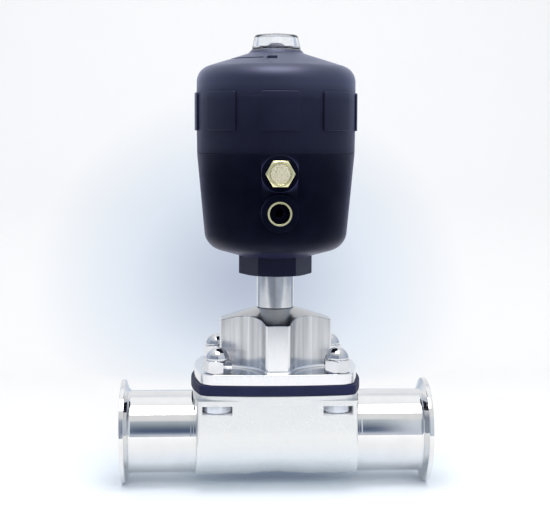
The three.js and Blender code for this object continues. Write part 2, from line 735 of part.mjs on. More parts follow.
function piston() {
  const { bottom, top, radius, bore, hub, rim, web } = PISTON;
  const { depth, lip } = PISTON_GROOVE;
  return turned(
    [
      [bore, bottom],
      [hub, bottom],
      [hub, web],
      [rim, web],
      [rim, bottom],
      [radius, bottom],
      [radius, bottom + lip],
      [radius - depth, bottom + lip],
      [radius - depth, top - lip],
      [radius, top - lip],
      [radius, top],
      [bore, top],
    ],
    SIDES.middle,
  );
}

// A lip seal: its two lips reach almost to the cylinder wall, its waist stays clear of it.
function pistonSeal() {
  const { inner, edge, waist, bottom, top, lip } = SEAL;
  const outer = HOUSING.cylinder - 0.2;
  return turned([
    [inner, bottom],
    [edge, bottom],
    [outer, bottom - 0.1],
    [waist, bottom + lip],
    [waist, top - lip],
    [outer, top + 0.1],
    [edge, top],
    [inner, top],
  ]);
}

class SpringCurve extends THREE.Curve {
  constructor(radius, turns, bottom, top) {
    super();
    Object.assign(this, { radius, turns, bottom, top });
  }

  getPoint(t) {
    const rise = t - (COIL_CLOSING * Math.sin(FULL_TURN * t)) / FULL_TURN;
    const angle = FULL_TURN * this.turns * t;
    return new THREE.Vector3(
      this.radius * Math.cos(angle),
      this.radius * Math.sin(angle),
      THREE.MathUtils.lerp(this.bottom, this.top, rise),
    );
  }
}

function coilSpring({ radius, wire, turns }) {
  const extrudePath = new SpringCurve(radius, turns, PISTON.top + wire + GAP, SPRING_TOP - wire);
  const section = new THREE.Shape(arc(new THREE.Vector2(), wire, 0, (FULL_TURN * 5) / 6, 5));
  const steps = turns * STEPS_PER_COIL;
  return solidOf(new THREE.ExtrudeGeometry(section, { steps, extrudePath, bevelEnabled: false }));
}

// ---------------------------------------------------------------- assembly

const valve = new THREE.Group();

function addTo(parent) {
  return (name, solid, material, place = [0, 0, 0]) => {
    const mesh = new THREE.Mesh(geometryOf(solid), material);
    mesh.name = name;
    mesh.position.set(...place);
    parent.add(mesh);
  };
}

const groups = countTo(4).map(() => new THREE.Group());
valve.add(...groups);
const [toPipework, toBonnet, toActuator, toStem] = groups.map(addTo);

toPipework("valve_body", valveBody(), polishedSteel);
toPipework("outlet_ferrule", ferrule(), polishedSteel);
toPipework("inlet_ferrule", facing(ferrule(), -1), polishedSteel);
toPipework("diaphragm", diaphragm(), blackRubber);

toBonnet("bonnet", bonnet(), polishedSteel);
toBonnet("spindle_tube", spindleTube(), polishedSteel);
toBonnet("lower_guide_bush", sleeve(SLEEVES.bush), whitePtfe);
toBonnet("spindle_packing", sleeve(SLEEVES.packing), blackRubber);
toBonnet("packing_gland", sleeve(SLEEVES.gland), brass);
toBonnet("tube_nut", tubeNut(), satinSteel);

BOLT_PLACES.forEach((place, i) => {
  toBonnet(`flange_bolt_${i + 1}`, flangeBolt(), satinSteel, [...place, FLANGE.bottom]);
  toBonnet(`cap_nut_${i + 1}`, capNut(), polishedSteel, [...place, BONNET_PLATE.top]);
});

toActuator("actuator_housing", actuatorHousing(), blackPlastic);
toActuator("actuator_cover", actuatorCover(), blackPlastic);
toActuator("tube_o_ring", sealRing(TUBE_RING, SIDES.middle), blackRubber);
toActuator("seam_o_ring", sealRing(SEAM_RING, SIDES.large), blackRubber);
toActuator(
  "spring_seat",
  ring(SPRING_SEAT.inner, SPRING_SEAT.outer, SPRING_TOP + GAP, COVER.ceiling - GAP),
  satinSteel,
);
toActuator("clear_cap", clearCap(), clearPlastic);
toActuator("cap_o_ring", sealRing(CAP_RING, SIDES.middle), blackRubber);
toActuator("indicator_guide", indicatorGuide(), blackPlastic);
toActuator("air_port_insert", portInsert(), brass, [0, INSERT.inset - PORTS.face, PORTS.airZ]);
toActuator("vent_port_insert", portInsert(), brass, [0, INSERT.inset - PORTS.face, PORTS.ventZ]);
toActuator("silencer_body", silencerBody(), brass, [0, -PORTS.face, PORTS.ventZ]);
toActuator("silencer_disc", silencerDisc(), bronze, [0, -PORTS.face, PORTS.ventZ]);
toActuator("outer_spring", coilSpring(OUTER_SPRING), springSteel);
toActuator("inner_spring", coilSpring(INNER_SPRING), springSteel);

toStem("diaphragm_stud", diaphragmStud(), satinSteel);
toStem("compressor", compressor(), satinSteel);
toStem("cross_pin", crossPin(0), satinSteel);
toStem("spindle", spindle(), satinSteel);
toStem("piston", piston(), aluminium);
toStem("piston_seal", pistonSeal(), blackRubber);
toStem(
  "piston_washer",
  ring(PISTON.bore, PISTON_WASHER.radius, PISTON.top + FACE_GAP, PISTON_WASHER.top, SIDES.small),
  satinSteel,
);
toStem(
  "piston_nut",
  cut(
    hexagon(PISTON_NUT.flats, PISTON_NUT.bottom, PISTON_NUT.top),
    disc(PISTON.bore, PISTON_NUT.bottom - PAST, PISTON_NUT.top + PAST),
  ),
  satinSteel,
);
toStem("indicator_pin", indicatorPin(), yellowPlastic);

export default valve;
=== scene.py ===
"""A sanitary diaphragm valve with a plastic pneumatic actuator, dressed over its CAD frame.

Lengths are millimetres until a mesh is made, and every piece is built where it stands in the
CAD frame: +Z up the spindle, +X along the pipe, air ports towards -Y.
"""

import math

import bmesh
import bpy
from mathutils import Matrix, Vector

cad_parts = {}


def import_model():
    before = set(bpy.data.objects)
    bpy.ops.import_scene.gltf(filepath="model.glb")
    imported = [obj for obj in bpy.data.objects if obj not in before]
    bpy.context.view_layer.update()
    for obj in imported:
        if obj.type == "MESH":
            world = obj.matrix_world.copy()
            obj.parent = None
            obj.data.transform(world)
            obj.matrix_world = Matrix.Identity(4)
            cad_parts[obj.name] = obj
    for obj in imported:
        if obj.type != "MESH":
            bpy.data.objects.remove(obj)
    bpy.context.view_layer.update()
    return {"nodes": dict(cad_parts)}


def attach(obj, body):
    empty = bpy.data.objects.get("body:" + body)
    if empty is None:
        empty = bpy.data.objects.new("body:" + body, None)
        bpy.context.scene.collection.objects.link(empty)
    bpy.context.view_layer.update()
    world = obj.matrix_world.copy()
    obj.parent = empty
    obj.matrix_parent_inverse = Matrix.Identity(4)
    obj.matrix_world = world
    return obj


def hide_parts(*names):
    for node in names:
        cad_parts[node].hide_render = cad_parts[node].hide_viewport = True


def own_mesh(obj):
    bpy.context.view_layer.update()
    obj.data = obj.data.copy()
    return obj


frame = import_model()

MM = 0.001
TAU = 2 * math.pi
SCENE = bpy.context.scene


# ------------------------------------------------------------------ outlines and meshes


def rounded(corners, edge=0.25, steps=4):
    """Points of a closed outline [(x, y[, radius])] with each corner turned into a short arc."""
    points = []
    count = len(corners)
    for i, corner in enumerate(corners):
        here = Vector(corner[:2])
        radius = corner[2] if len(corner) > 2 else edge
        back = Vector(corners[i - 1][:2]) - here
        ahead = Vector(corners[(i + 1) % count][:2]) - here
        on_axis = abs(here.x) < 1e-6
        if radius == 0 or on_axis or back.length < 1e-6 or ahead.length < 1e-6:
            points.append(here)
            continue
        half = back.angle(ahead) / 2
        if half > math.radians(88):
            points.append(here)
            continue
        reach = min(radius / math.tan(half), 0.45 * min(back.length, ahead.length))
        radius = reach * math.tan(half)
        centre = here + (back.normalized() + ahead.normalized()).normalized() * (radius / math.sin(half))
        start = here + back.normalized() * reach - centre
        turn = start.angle_signed(here + ahead.normalized() * reach - centre)
        for k in range(steps + 1):
            arm = start.copy()
            arm.rotate(Matrix.Rotation(-turn * k / steps, 2))
            points.append(centre + arm)
    return points


def skin(name, loops, wrap=False):
    """A mesh through loops of points; a loop of one point is a pole."""
    bm = bmesh.new()
    rings = [[bm.verts.new(Vector(p) * MM) for p in loop] for loop in loops]
    pairs = list(zip(rings, rings[1:] + rings[:1])) if wrap else list(zip(rings, rings[1:]))
    for low, high in pairs:
        sides = max(len(low), len(high))
        for k in range(sides):
            a, b = low[k % len(low)], low[(k + 1) % len(low)]
            c, d = high[(k + 1) % len(high)], high[k % len(high)]
            corners = list(dict.fromkeys((a, b, c, d)))
            if len(corners) > 2:
                bm.faces.new(corners)
    if not wrap:
        for ring in (rings[0], rings[-1]):
            if len(ring) > 2:
                bm.faces.new(ring)
    bmesh.ops.remove_doubles(bm, verts=bm.verts, dist=1e-7)
    bmesh.ops.recalc_face_normals(bm, faces=bm.faces)
    mesh = bpy.data.meshes.new(name)
    bm.to_mesh(mesh)
    bm.free()
    obj = bpy.data.objects.new(name, mesh)
    SCENE.collection.objects.link(obj)
    return obj


def lathe(name, corners, segments=144, edge=0.25, steps=4, place=None):
    """A piece turned about +Z from a closed profile [(radius, z[, fillet])]."""
    profile = rounded(corners, edge, steps)
    poles = [i for i, p in enumerate(profile) if p.x < 1e-6]
    if poles:
        start = next(i for i in poles if (i - 1) % len(profile) in poles)
        profile = profile[start:] + profile[:start]
    loops = []
    for p in profile:
        if p.x < 1e-6:
            loops.append([(0, 0, p.y)])
        else:
            loops.append(circle(p.x, p.y, segments))
    obj = skin(name, loops, wrap=not poles)
    if place is not None:
        obj.data.transform(place)
    return obj


def circle(radius, z, segments):
    return [
        (radius * math.cos(TAU * k / segments), radius * math.sin(TAU * k / segments), z)
        for k in range(segments)
    ]


def shift(x=0.0, y=0.0, z=0.0):
    return Matrix.Translation(Vector((x, y, z)) * MM)


TO_FRONT = Matrix.Rotation(math.pi / 2, 4, "X")


def along_pipe(side):
    """Lays a turned piece along the pipe, towards +X or -X."""
    turn = Matrix.Rotation(math.pi, 4, "Z") if side < 0 else Matrix.Identity(4)
    return turn @ Matrix.Rotation(math.pi / 2, 4, "Y")


def arc(centre, radius, start, end, steps):
    return [
        Vector((centre[0] + radius * math.cos(a), centre[1] + radius * math.sin(a)))
        for a in (start + (end - start) * k / steps for k in range(steps + 1))
    ]


def final_mesh(obj):
    """Applies the modifiers of a piece."""
    depsgraph = bpy.context.evaluated_depsgraph_get()
    mesh = bpy.data.meshes.new_from_object(obj.evaluated_get(depsgraph))
    obj.modifiers.clear()
    obj.data = mesh


def boolean(obj, operation, *others):
    for other in others:
        modifier = obj.modifiers.new("boolean", "BOOLEAN")
        modifier.operation = operation
        modifier.solver = "EXACT"
        modifier.object = other
        final_mesh(obj)
        bpy.data.objects.remove(other)
    return obj


def bevel(obj, width, angle=35, segments=3):
    modifier = obj.modifiers.new("bevel", "BEVEL")
    modifier.width = width * MM
    modifier.segments = segments
    modifier.limit_method = "ANGLE"
    modifier.angle_limit = math.radians(angle)
    modifier.miter_outer = "MITER_ARC"
    final_mesh(obj)
    return obj


def dress(obj, body, slot, material, *nodes, smooth=32):
    """Gives a finished piece its material, its shading, its body and the CAD nodes it stands for."""
    obj.data.materials.clear()
    obj.data.materials.append(material)
    obj.data.shade_smooth()
    obj.data.set_sharp_from_angle(angle=math.radians(smooth))
    modifier = obj.modifiers.new("flat faces stay flat", "WEIGHTED_NORMAL")
    modifier.keep_sharp = True
    final_mesh(obj)
    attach(obj, body)
    if nodes:
        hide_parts(*nodes)
    return obj


# ------------------------------------------------------------------ materials


class Tree:
    """A node tree, with the few steps that every finish and the room use."""

    def __init__(self, tree):
        self.tree = tree

    def add(self, kind, **settings):
        node = self.tree.nodes.new(kind)
        for key, value in settings.items():
            setattr(node, key, value)
        return node

    def link(self, source, target):
        self.tree.links.new(source, target)

    def feed(self, source, target):
        """Gives an input a number, a colour or another node's output."""
        if isinstance(source, (int, float)):
            target.default_value = source
        elif isinstance(source, tuple):
            target.default_value = (*source, 1)
        else:
            self.link(source, target)

    def axes(self, vector):
        """The X, Y and Z outputs of a vector."""
        node = self.add("ShaderNodeSeparateXYZ")
        self.link(vector, node.inputs["Vector"])
        return node.outputs

    def level(self, value, low, high, interpolation="LINEAR"):
        """Goes from 0 to 1 while the value goes from low to high."""
        node = self.add("ShaderNodeMapRange", interpolation_type=interpolation)
        node.inputs["From Min"].default_value = low
        node.inputs["From Max"].default_value = high
        self.link(value, node.inputs["Value"])
        return node.outputs["Result"]

    def ramp(self, value, stops):
        """A colour ramp, each stop (position, colour or grey)."""
        node = self.add("ShaderNodeValToRGB")
        elements = node.color_ramp.elements
        while len(elements) < len(stops):
            elements.new(0.5)
        for element, (position, colour) in zip(elements, stops):
            element.position = position
            element.color = (*colour, 1) if isinstance(colour, tuple) else (colour,) * 3 + (1,)
        self.link(value, node.inputs["Fac"])
        return node.outputs["Color"]

    def mix(self, factor, first, second, how="MIX"):
        """The second colour laid over the first, by the factor."""
        node = self.add("ShaderNodeMix", data_type="RGBA", blend_type=how)
        share = next(s for s in node.inputs if s.type == "VALUE" and s.enabled)
        colours = [s for s in node.inputs if s.type == "RGBA"]
        for source, target in zip((factor, first, second), (share, *colours)):
            self.feed(source, target)
        return next(s for s in node.outputs if s.type == "RGBA")

    def math(self, operation, first, second):
        node = self.add("ShaderNodeMath", operation=operation)
        self.feed(first, node.inputs[0])
        self.feed(second, node.inputs[1])
        return node.outputs["Value"]


class Nodes(Tree):
    """A material's node tree."""

    def __init__(self, name):
        self.material = bpy.data.materials.new(name)
        self.material.use_nodes = True
        super().__init__(self.material.node_tree)
        self.shader = self.tree.nodes["Principled BSDF"]
        self.place = self.add("ShaderNodeTexCoord").outputs["Object"]

    def set(self, name, value):
        self.feed(value, self.shader.inputs[name])

    def stretched(self, scale):
        mapping = self.add("ShaderNodeMapping")
        mapping.inputs["Scale"].default_value = scale
        self.link(self.place, mapping.inputs["Vector"])
        return mapping.outputs["Vector"]

    def along(self, axis):
        """The place along one axis of the valve, in metres."""
        return self.axes(self.place)[axis]

    def off_centre(self, axis):
        """How far the place is from the valve's middle along one axis."""
        return self.math("ABSOLUTE", self.along(axis), 0)

    def noise(self, size, detail=3.0, where=None, roughness=0.55):
        """Noise whose features are about size millimetres across."""
        node = self.add("ShaderNodeTexNoise")
        node.inputs["Scale"].default_value = 1 / (size * MM)
        node.inputs["Detail"].default_value = detail
        node.inputs["Roughness"].default_value = roughness
        self.link(where or self.place, node.inputs["Vector"])
        return node.outputs["Fac"]

    def bump(self, height, depth, strength=1.0, below=None):
        """Bump of that depth in millimetres, on top of another bump if there is one."""
        node = self.add("ShaderNodeBump")
        node.inputs["Strength"].default_value = strength
        node.inputs["Distance"].default_value = depth * MM
        self.link(height, node.inputs["Height"])
        if below is not None:
            self.link(below, node.inputs["Normal"])
        return node.outputs["Normal"]


# How strongly the actuator's plastic shines and how much clear coat it has, by height.
SHINE_FROM, SHINE_TO = 90, 240
SHINE = [
    (98, 0.34),
    (115, 0.30),
    (121, 0.08),
    (130, 0.035),
    (150, 0.025),
    (160, 0.035),
    (171.5, 0.09),
    (172.5, 0.22),
    (176, 0.36),
    (191, 0.44),
    (204, 0.55),
    (213, 1.0),
]
GLAZE = [(204, 0.0), (209, 0.3), (213, 0.7), (217, 1.0)]
NAVY = (0.0016, 0.0022, 0.0065)
NAVY_SHINE = (0.50, 0.54, 1.0)
PALE_BRASS = (0.90, 0.86, 0.52)
# The darker brass is painted shade, for down in the port's thread.
SHADED_BRASS = (0.06, 0.05, 0.03)

# Where the finishes change on one piece, painted shade and painted light among them: the hub above its foot
# and behind the ribs' faces, painted darker; the room that holds the body's pockets, painted pale; and the
# port's thread from its mouth inwards, painted in shade.
HUB_FOOT_TOP = 43.4
RIB_FACE = 33.4
POCKET_PAINTED_LIGHT = {"half_x": 46, "half_y": 37.4, "bottom": 17.45, "top": 23.0}
THREAD_SHADE_START, THREAD_SHADE_END = -48.12, -47.4


def polished(name, colour, rough, grain=(1, 1, 1), mottle=0.03, grain_depth=0.0006, wave=0.004):
    """Bright metal: fine polishing lines along the grain, slow waviness, a little mottling."""
    n = Nodes(name)
    lines = n.noise(0.35, 4, n.stretched(grain))
    clouds = n.noise(9, 2)
    dark = tuple(c * (1 - 4 * mottle) for c in colour)
    n.set("Metallic", 1.0)
    n.set("Base Color", n.ramp(clouds, [(0.35, dark), (0.65, colour)]))
    low, high = rough * 0.75, rough * 1.35
    n.set("Roughness", n.ramp(lines, [(0.3, low), (0.7, high)]))
    fine = n.bump(lines, grain_depth)
    n.set("Normal", n.bump(clouds, wave, below=fine))
    return n.material


def milled(name, colour):
    """Bright metal whose hollow sides keep the upright streaks of a cutter, with painted shade: the hollow
    sides are painted darker overall, and the faces looking up inside them darker still, standing in for the
    dark reflections they catch.
    """
    n = Nodes(name)
    reach = n.math("MAXIMUM", n.off_centre("X"), n.off_centre("Y"))
    above = n.math("GREATER_THAN", n.along("Z"), HUB_FOOT_TOP * MM)
    hollow = n.math("MULTIPLY", above, n.math("LESS_THAN", reach, RIB_FACE * MM))
    upright = n.stretched((1, 1, 0.03))
    fine = n.noise(0.3, 3, upright)
    cuts = n.noise(5, 4, upright)
    # Painted shade: the whole hollow is pushed darker, on top of the cutter's streaks.
    streaks = n.math("MULTIPLY", n.math("ADD", cuts, 0.25), hollow)
    facing = n.axes(n.add("ShaderNodeNewGeometry").outputs["Normal"])
    # Painted reflection: faces looking up inside the hollow, the hub's cone top, are painted darker.
    faces_up = n.math("GREATER_THAN", facing["Z"], 0.9)
    crown = n.math("MULTIPLY", faces_up, hollow)
    shade = n.math("ADD", streaks, crown)
    tones = [
        (level, tuple(c * share for c in colour))
        for level, share in ((0.55, 1.0), (0.66, 0.80), (0.86, 0.60), (1.0, 0.52))
    ]
    n.set("Metallic", 1.0)
    n.set("Base Color", n.ramp(shade, tones))
    n.set("Roughness", n.ramp(fine, [(0.3, 0.12), (0.7, 0.2)]))
    n.set("Normal", n.bump(cuts, 0.012, below=n.bump(fine, 0.0006)))
    return n.material


def cast_body(name, colour):
    """Satin steel, with painted light in the pockets round the bolt heads: they are made pale and not
    metallic, so the recesses there don't fall dark.
    """
    n = Nodes(name)
    behind_wall = n.math("LESS_THAN", n.off_centre("Y"), POCKET_PAINTED_LIGHT["half_y"] * MM)
    inside_ends = n.math("LESS_THAN", n.off_centre("X"), POCKET_PAINTED_LIGHT["half_x"] * MM)
    over_floor = n.math("GREATER_THAN", n.along("Z"), POCKET_PAINTED_LIGHT["bottom"] * MM)
    under_flange = n.math("LESS_THAN", n.along("Z"), POCKET_PAINTED_LIGHT["top"] * MM)
    across = n.math("MULTIPLY", behind_wall, inside_ends)
    # Painted light: the mask of the pockets round the bolt heads, which are painted pale.
    pocket = n.math("MULTIPLY", across, n.math("MULTIPLY", over_floor, under_flange))
    lines = n.noise(0.35, 4, n.stretched((0.3, 1, 1)))
    clouds = n.noise(9, 2)
    n.set("Metallic", n.math("SUBTRACT", 1.0, pocket))
    n.set("Base Color", n.ramp(pocket, [(0.0, colour), (1.0, (0.93, 0.94, 0.96))]))
    n.set("Roughness", n.ramp(lines, [(0.3, 0.25), (0.7, 0.45)]))
    n.set("Normal", n.bump(clouds, 0.012, below=n.bump(lines, 0.0006)))
    return n.material


def skinned(name, colour, rough, grain, depth, tint):
    """The start of every plastic: a fine textured skin with faint flow marks."""
    n = Nodes(name)
    texture = n.noise(grain, 2)
    flow = n.noise(14, 3)
    pale = tuple(c * 1.35 + 0.001 for c in colour)
    n.set("Base Color", n.ramp(flow, [(0.35, colour), (0.7, pale)]))
    n.set("Roughness", n.ramp(flow, [(0.3, rough * 0.9), (0.7, rough * 1.1)]))
    n.set("Normal", n.bump(texture, depth))
    n.set("Specular Tint", tint)
    n.set("Sheen Roughness", 0.35)
    n.set("Sheen Tint", tuple(c**1.4 for c in tint))
    return n


def moulded(name, colour, rough, grain=0.35, depth=0.012, specular=0.5, tint=(1.0, 1.0, 1.0)):
    """Moulded plastic or rubber that is the same all over."""
    n = skinned(name, colour, rough, grain, depth, tint)
    n.set("Specular IOR Level", specular)
    return n.material


def navy_plastic(name, rough):
    """The actuator's plastic: dull low down, satin on the cover, shiny on its crown."""
    n = skinned(name, NAVY, rough, 0.35, 0.012, NAVY_SHINE)
    height = n.level(n.along("Z"), SHINE_FROM * MM, SHINE_TO * MM)

    def by_height(stops):
        return n.ramp(height, [((z - SHINE_FROM) / (SHINE_TO - SHINE_FROM), grey) for z, grey in stops])

    n.set("Specular IOR Level", by_height(SHINE))
    n.set("Coat Weight", by_height(GLAZE))
    n.set("Coat Roughness", 0.42)
    n.set("Coat Tint", (0.8, 0.84, 1.0))
    n.set("Sheen Weight", 0.15)
    return n.material


def port_brass():
    """Brass with painted shade: bright on its face, painted dark down in its thread, where the hole falls
    into shade.
    """
    n = Nodes("port_brass")
    # Painted shade: the base colour darkens from the port's mouth into its thread.
    depth = n.level(n.along("Y"), THREAD_SHADE_START * MM, THREAD_SHADE_END * MM)
    n.set("Metallic", 1.0)
    n.set("Base Color", n.ramp(depth, [(0.0, PALE_BRASS), (1.0, SHADED_BRASS)]))
    n.set("Roughness", 0.2)
    n.set("Normal", n.bump(n.noise(3, 2), 0.004))
    return n.material


TUBE_STEEL = polished(
    "mirror_tube_steel", (0.80, 0.80, 0.80), 0.055, grain=(0.02, 1, 1), mottle=0.008, wave=0.0015
)
BODY_STEEL = cast_body("satin_body_steel", (0.80, 0.81, 0.81))
HUB_STEEL = milled("milled_hub_steel", (0.78, 0.79, 0.81))
HEAD_STEEL = moulded("blasted_head_steel", (0.62, 0.65, 0.70), 0.45, grain=0.5, depth=0.004)
NUT_STEEL = polished("chrome_nut_steel", (0.70, 0.71, 0.74), 0.06, wave=0.002)
STEM_STEEL = polished("turned_stem_steel", (0.66, 0.68, 0.71), 0.10, grain=(0.03, 0.03, 1), wave=0.003)
SATIN_STEEL = polished("satin_steel", (0.60, 0.61, 0.62), 0.28)
SPRING_STEEL = polished("spring_wire", (0.36, 0.37, 0.39), 0.30)
ALUMINIUM = polished("cast_aluminium", (0.62, 0.63, 0.65), 0.40)
BRASS = polished("pale_brass", PALE_BRASS, 0.18, wave=0.004)
PORT_BRASS = port_brass()
COVER_PLASTIC = navy_plastic("navy_cover_plastic", 0.50)
HOUSING_PLASTIC = navy_plastic("navy_housing_plastic", 0.38)
GUIDE_PLASTIC = moulded("grey_guide_plastic", (0.12, 0.13, 0.18), 0.3)
RUBBER = moulded(
    "black_rubber", (0.008, 0.010, 0.036), 0.6, grain=0.6, specular=0.3, tint=(0.7, 0.75, 1.0)
)
PTFE = moulded("white_ptfe", (0.78, 0.76, 0.70), 0.40)
YELLOW = moulded("yellow_indicator", (0.75, 0.36, 0.02), 0.35)


def sintered():
    n = Nodes("sintered_bronze")
    voronoi = n.add("ShaderNodeTexVoronoi")
    voronoi.inputs["Scale"].default_value = 1 / (0.55 * MM)
    n.link(n.place, voronoi.inputs["Vector"])
    grains = voronoi.outputs["Distance"]
    n.set("Metallic", 1.0)
    n.set("Base Color", n.ramp(grains, [(0.0, (1.0, 0.98, 0.78)), (0.8, (0.62, 0.56, 0.38))]))
    n.set("Roughness", 0.42)
    n.set("Normal", n.bump(n.math("SUBTRACT", 1.0, grains), 0.25))
    return n.material


def clear():
    n = Nodes("clear_plastic")
    n.set("Base Color", (0.97, 0.98, 0.99))
    n.set("Transmission Weight", 1.0)
    n.set("IOR", 1.49)
    n.set("Roughness", n.ramp(n.noise(6, 2), [(0.3, 0.02), (0.7, 0.06)]))
    n.set("Normal", n.bump(n.noise(5, 1), 0.01))
    return n.material


SINTERED = sintered()
CLEAR = clear()


# ------------------------------------------------------------------ shared outlines

FLANGE_CORNER = 10.0
FLANGE_SIDE = 108.0
FLANGE_FRONT = 290.0


def barrel(half_x, half_y, inset=0.0, corner=FLANGE_CORNER, fine=10):
    """The flanges' outline: bowed sides and round corners, moved in by inset."""
    side_c = Vector((half_x - FLANGE_SIDE, 0))
    front_c = Vector((0, half_y - FLANGE_FRONT))
    between = front_c - side_c
    distance = between.length
    side_r, front_r = FLANGE_SIDE - corner, FLANGE_FRONT - corner
    along = (distance**2 + side_r**2 - front_r**2) / (2 * distance)
    across = math.sqrt(side_r**2 - along**2)
    between.normalize()
    corner_c = side_c + between * along + Vector((-between.y, between.x)) * across
    side_end = math.atan2(*(corner_c - side_c).yx)
    front_end = math.atan2(*(corner_c - front_c).yx)
    quarter = arc(side_c, FLANGE_SIDE - inset, 0, side_end, fine)
    quarter += arc(corner_c, corner - inset, side_end, front_end, fine)[1:]
    quarter += arc(front_c, FLANGE_FRONT - inset, front_end, math.pi / 2, fine)[1:]
    half = quarter + [Vector((-p.x, p.y)) for p in reversed(quarter[:-1])]
    return half + [Vector((p.x, -p.y)) for p in reversed(half[1:-1])]


def plate(name, half_x, half_y, bottom, top, edge, corner=FLANGE_CORNER, steps=4):
    """A flange plate with rounded edges."""
    quarter = [math.pi / 2 * k / steps for k in range(steps + 1)]
    levels = [(1 - math.sin(a), bottom + edge * (1 - math.cos(a))) for a in quarter]
    levels += [(1 - math.cos(a), top - edge * (1 - math.sin(a))) for a in quarter]
    outlines = [(barrel(half_x, half_y, edge * inset, corner), z) for inset, z in levels]
    return skin(name, [at_height(outline, z) for outline, z in outlines])


def divided(points, cuts):
    """The closed outline with more points: cuts gives the steps for a side of some length."""
    outline = []
    for here, there in zip(points, points[1:] + points[:1]):
        steps = cuts((there - here).length)
        outline += [here.lerp(there, k / steps) for k in range(steps)]
    return outline


def hexagon(flats, corner=0.35, turn=0.0, per_side=8):
    """A hexagon's outline with slightly rounded corners and points along its sides."""
    across = flats / math.sqrt(3)
    points = rounded(
        [(across * math.cos(turn + TAU * k / 6), across * math.sin(turn + TAU * k / 6)) for k in range(6)],
        corner,
        3,
    )
    return divided(points, lambda length: per_side if length > flats * 0.3 else 1)


def at_height(outline, z):
    return [(p.x, p.y, z) for p in outline]


def on_circle(outline, radius, z):
    return [(*(p.normalized() * radius), z) for p in outline]


def chamfered(outline, start, z, slope=0.55):
    """The outline where a cone that starts at a radius cuts a hexagon's top corners away."""
    return [(p.x, p.y, z - max(0.0, p.length - start) * slope) for p in outline]


def chamfered_below(outline, start, z, slope=0.55):
    """The same for a hexagon's bottom corners."""
    return chamfered(outline, start, z, -slope)


BOLTS = [(-36, -27), (36, -27), (36, 27), (-36, 27)]
HEX_FLATS = 15.2
FLANGE_BOTTOM = 23.1
PLATE_TOP = 41.9
NUT_TURNS = (-7, 30, 12, 40)
HEAD_TURNS = (-13, 15, 5, 22)


# ------------------------------------------------------------------ valve body

BODY_END = 49.8
BODY_BOW = 350.0
BODY_CORNER = 2.0
BODY_WALL = 37.6
BODY_CURVE = 8.0
BODY_FLOOR = -26.3
BODY_TOP = 26.3
FLANGE_TOP = 29.2
SADDLE_RISE = 1.2
SADDLE_HALF = 18.0


def end_x(y):
    """How far the body reaches along the pipe at a distance y from its mid-plane."""
    bowed = BODY_END - y**2 / (2 * BODY_BOW)
    into_corner = max(0.0, y - (BODY_WALL - BODY_CORNER))
    return bowed - BODY_CORNER + math.sqrt(max(0.0, BODY_CORNER**2 - into_corner**2))


def trough_loop(width, z):
    """One level of the body block: two bowed ends and two straight sides."""
    across, along = 32, 44
    spread = [math.sin(math.pi * (k / across - 0.5)) for k in range(across + 1)]
    ends = [(end_x(abs(width * t)), width * t) for t in spread]
    reach = ends[-1][0]
    side = [(reach * (1 - 2 * k / along), width) for k in range(1, along)]
    half = ends + side
    outline = half + [(-x, -y) for x, y in half]
    low = min(max((-10 - z) / 16, 0), 1)
    return [
        (x, y, z + SADDLE_RISE * max(0, 1 - (x / SADDLE_HALF) ** 2) * low) for x, y in outline
    ]


def body_block():
    depth = BODY_CURVE - BODY_FLOOR
    loops = [trough_loop(BODY_WALL, z) for z in (BODY_TOP, 20, 14)]
    for k in range(33):
        a = math.pi / 2 * k / 32
        width = max(BODY_WALL * math.cos(a), 0.02)
        loops.append(trough_loop(width, BODY_CURVE - depth * math.sin(a)))
    return skin("valve_body_steel", loops)


def head_pocket(x, y):
    """The room round a bolt head, open towards the front or the back of the body."""
    radius, floor, far = 8.95, 17.5, 30.0
    side = math.copysign(1, y)
    outline = [Vector((p.x, -p.y * side)) for p in arc((0, 0), radius, 0, math.pi, 24)]
    outline += [Vector((-radius, far * side)), Vector((radius, far * side))]
    outline = [p + Vector((x, y)) for p in outline]
    return skin("pocket", [at_height(outline, z) for z in (floor, FLANGE_BOTTOM + 0.01)])


def flow_passage(stations=72, sides=72):
    """A round bore that climbs over the weir and opens into the flange face."""
    weir_run, weir_half, weir_depth, bore = 36, 28, 25, 23.9
    end = 52
    loops = []
    for i in range(stations + 1):
        x = -end + 2 * end * i / stations
        run = min(abs(x) / weir_run, 1)
        settled = run * run * (3 - 2 * run)
        centre = FLANGE_TOP * (1 - settled)
        half_y = weir_half + (bore - weir_half) * settled
        half_z = weir_depth + (bore - weir_depth) * settled
        loops.append(
            [
                (x, half_y * math.cos(TAU * k / sides), centre + half_z * math.sin(TAU * k / sides))
                for k in range(sides)
            ]
        )
    return skin("passage", loops)


def bolt_holes(bottom, top):
    hole = [(0, bottom), (5.4, bottom), (5.4, top), (0, top)]
    return [lathe("hole", hole, 48, edge=0, place=shift(x, y)) for x, y in BOLTS]


def socket(side):
    corners = [(0, 46), (25.45, 46), (25.45, 60), (0, 60)]
    return lathe("socket", corners, 144, edge=0, place=along_pipe(side))


def valve_body():
    body = body_block()
    boolean(body, "DIFFERENCE", *[head_pocket(x, y) for x, y in BOLTS])
    boolean(body, "UNION", plate("flange", 51, 38.3, FLANGE_BOTTOM, FLANGE_TOP, 0.4))
    bevel(body, 0.35, angle=40)
    boolean(body, "DIFFERENCE", flow_passage(), socket(-1), socket(1), *bolt_holes(15, 30))
    return dress(body, "valve", "polished_steel", BODY_STEEL, "valve_body")


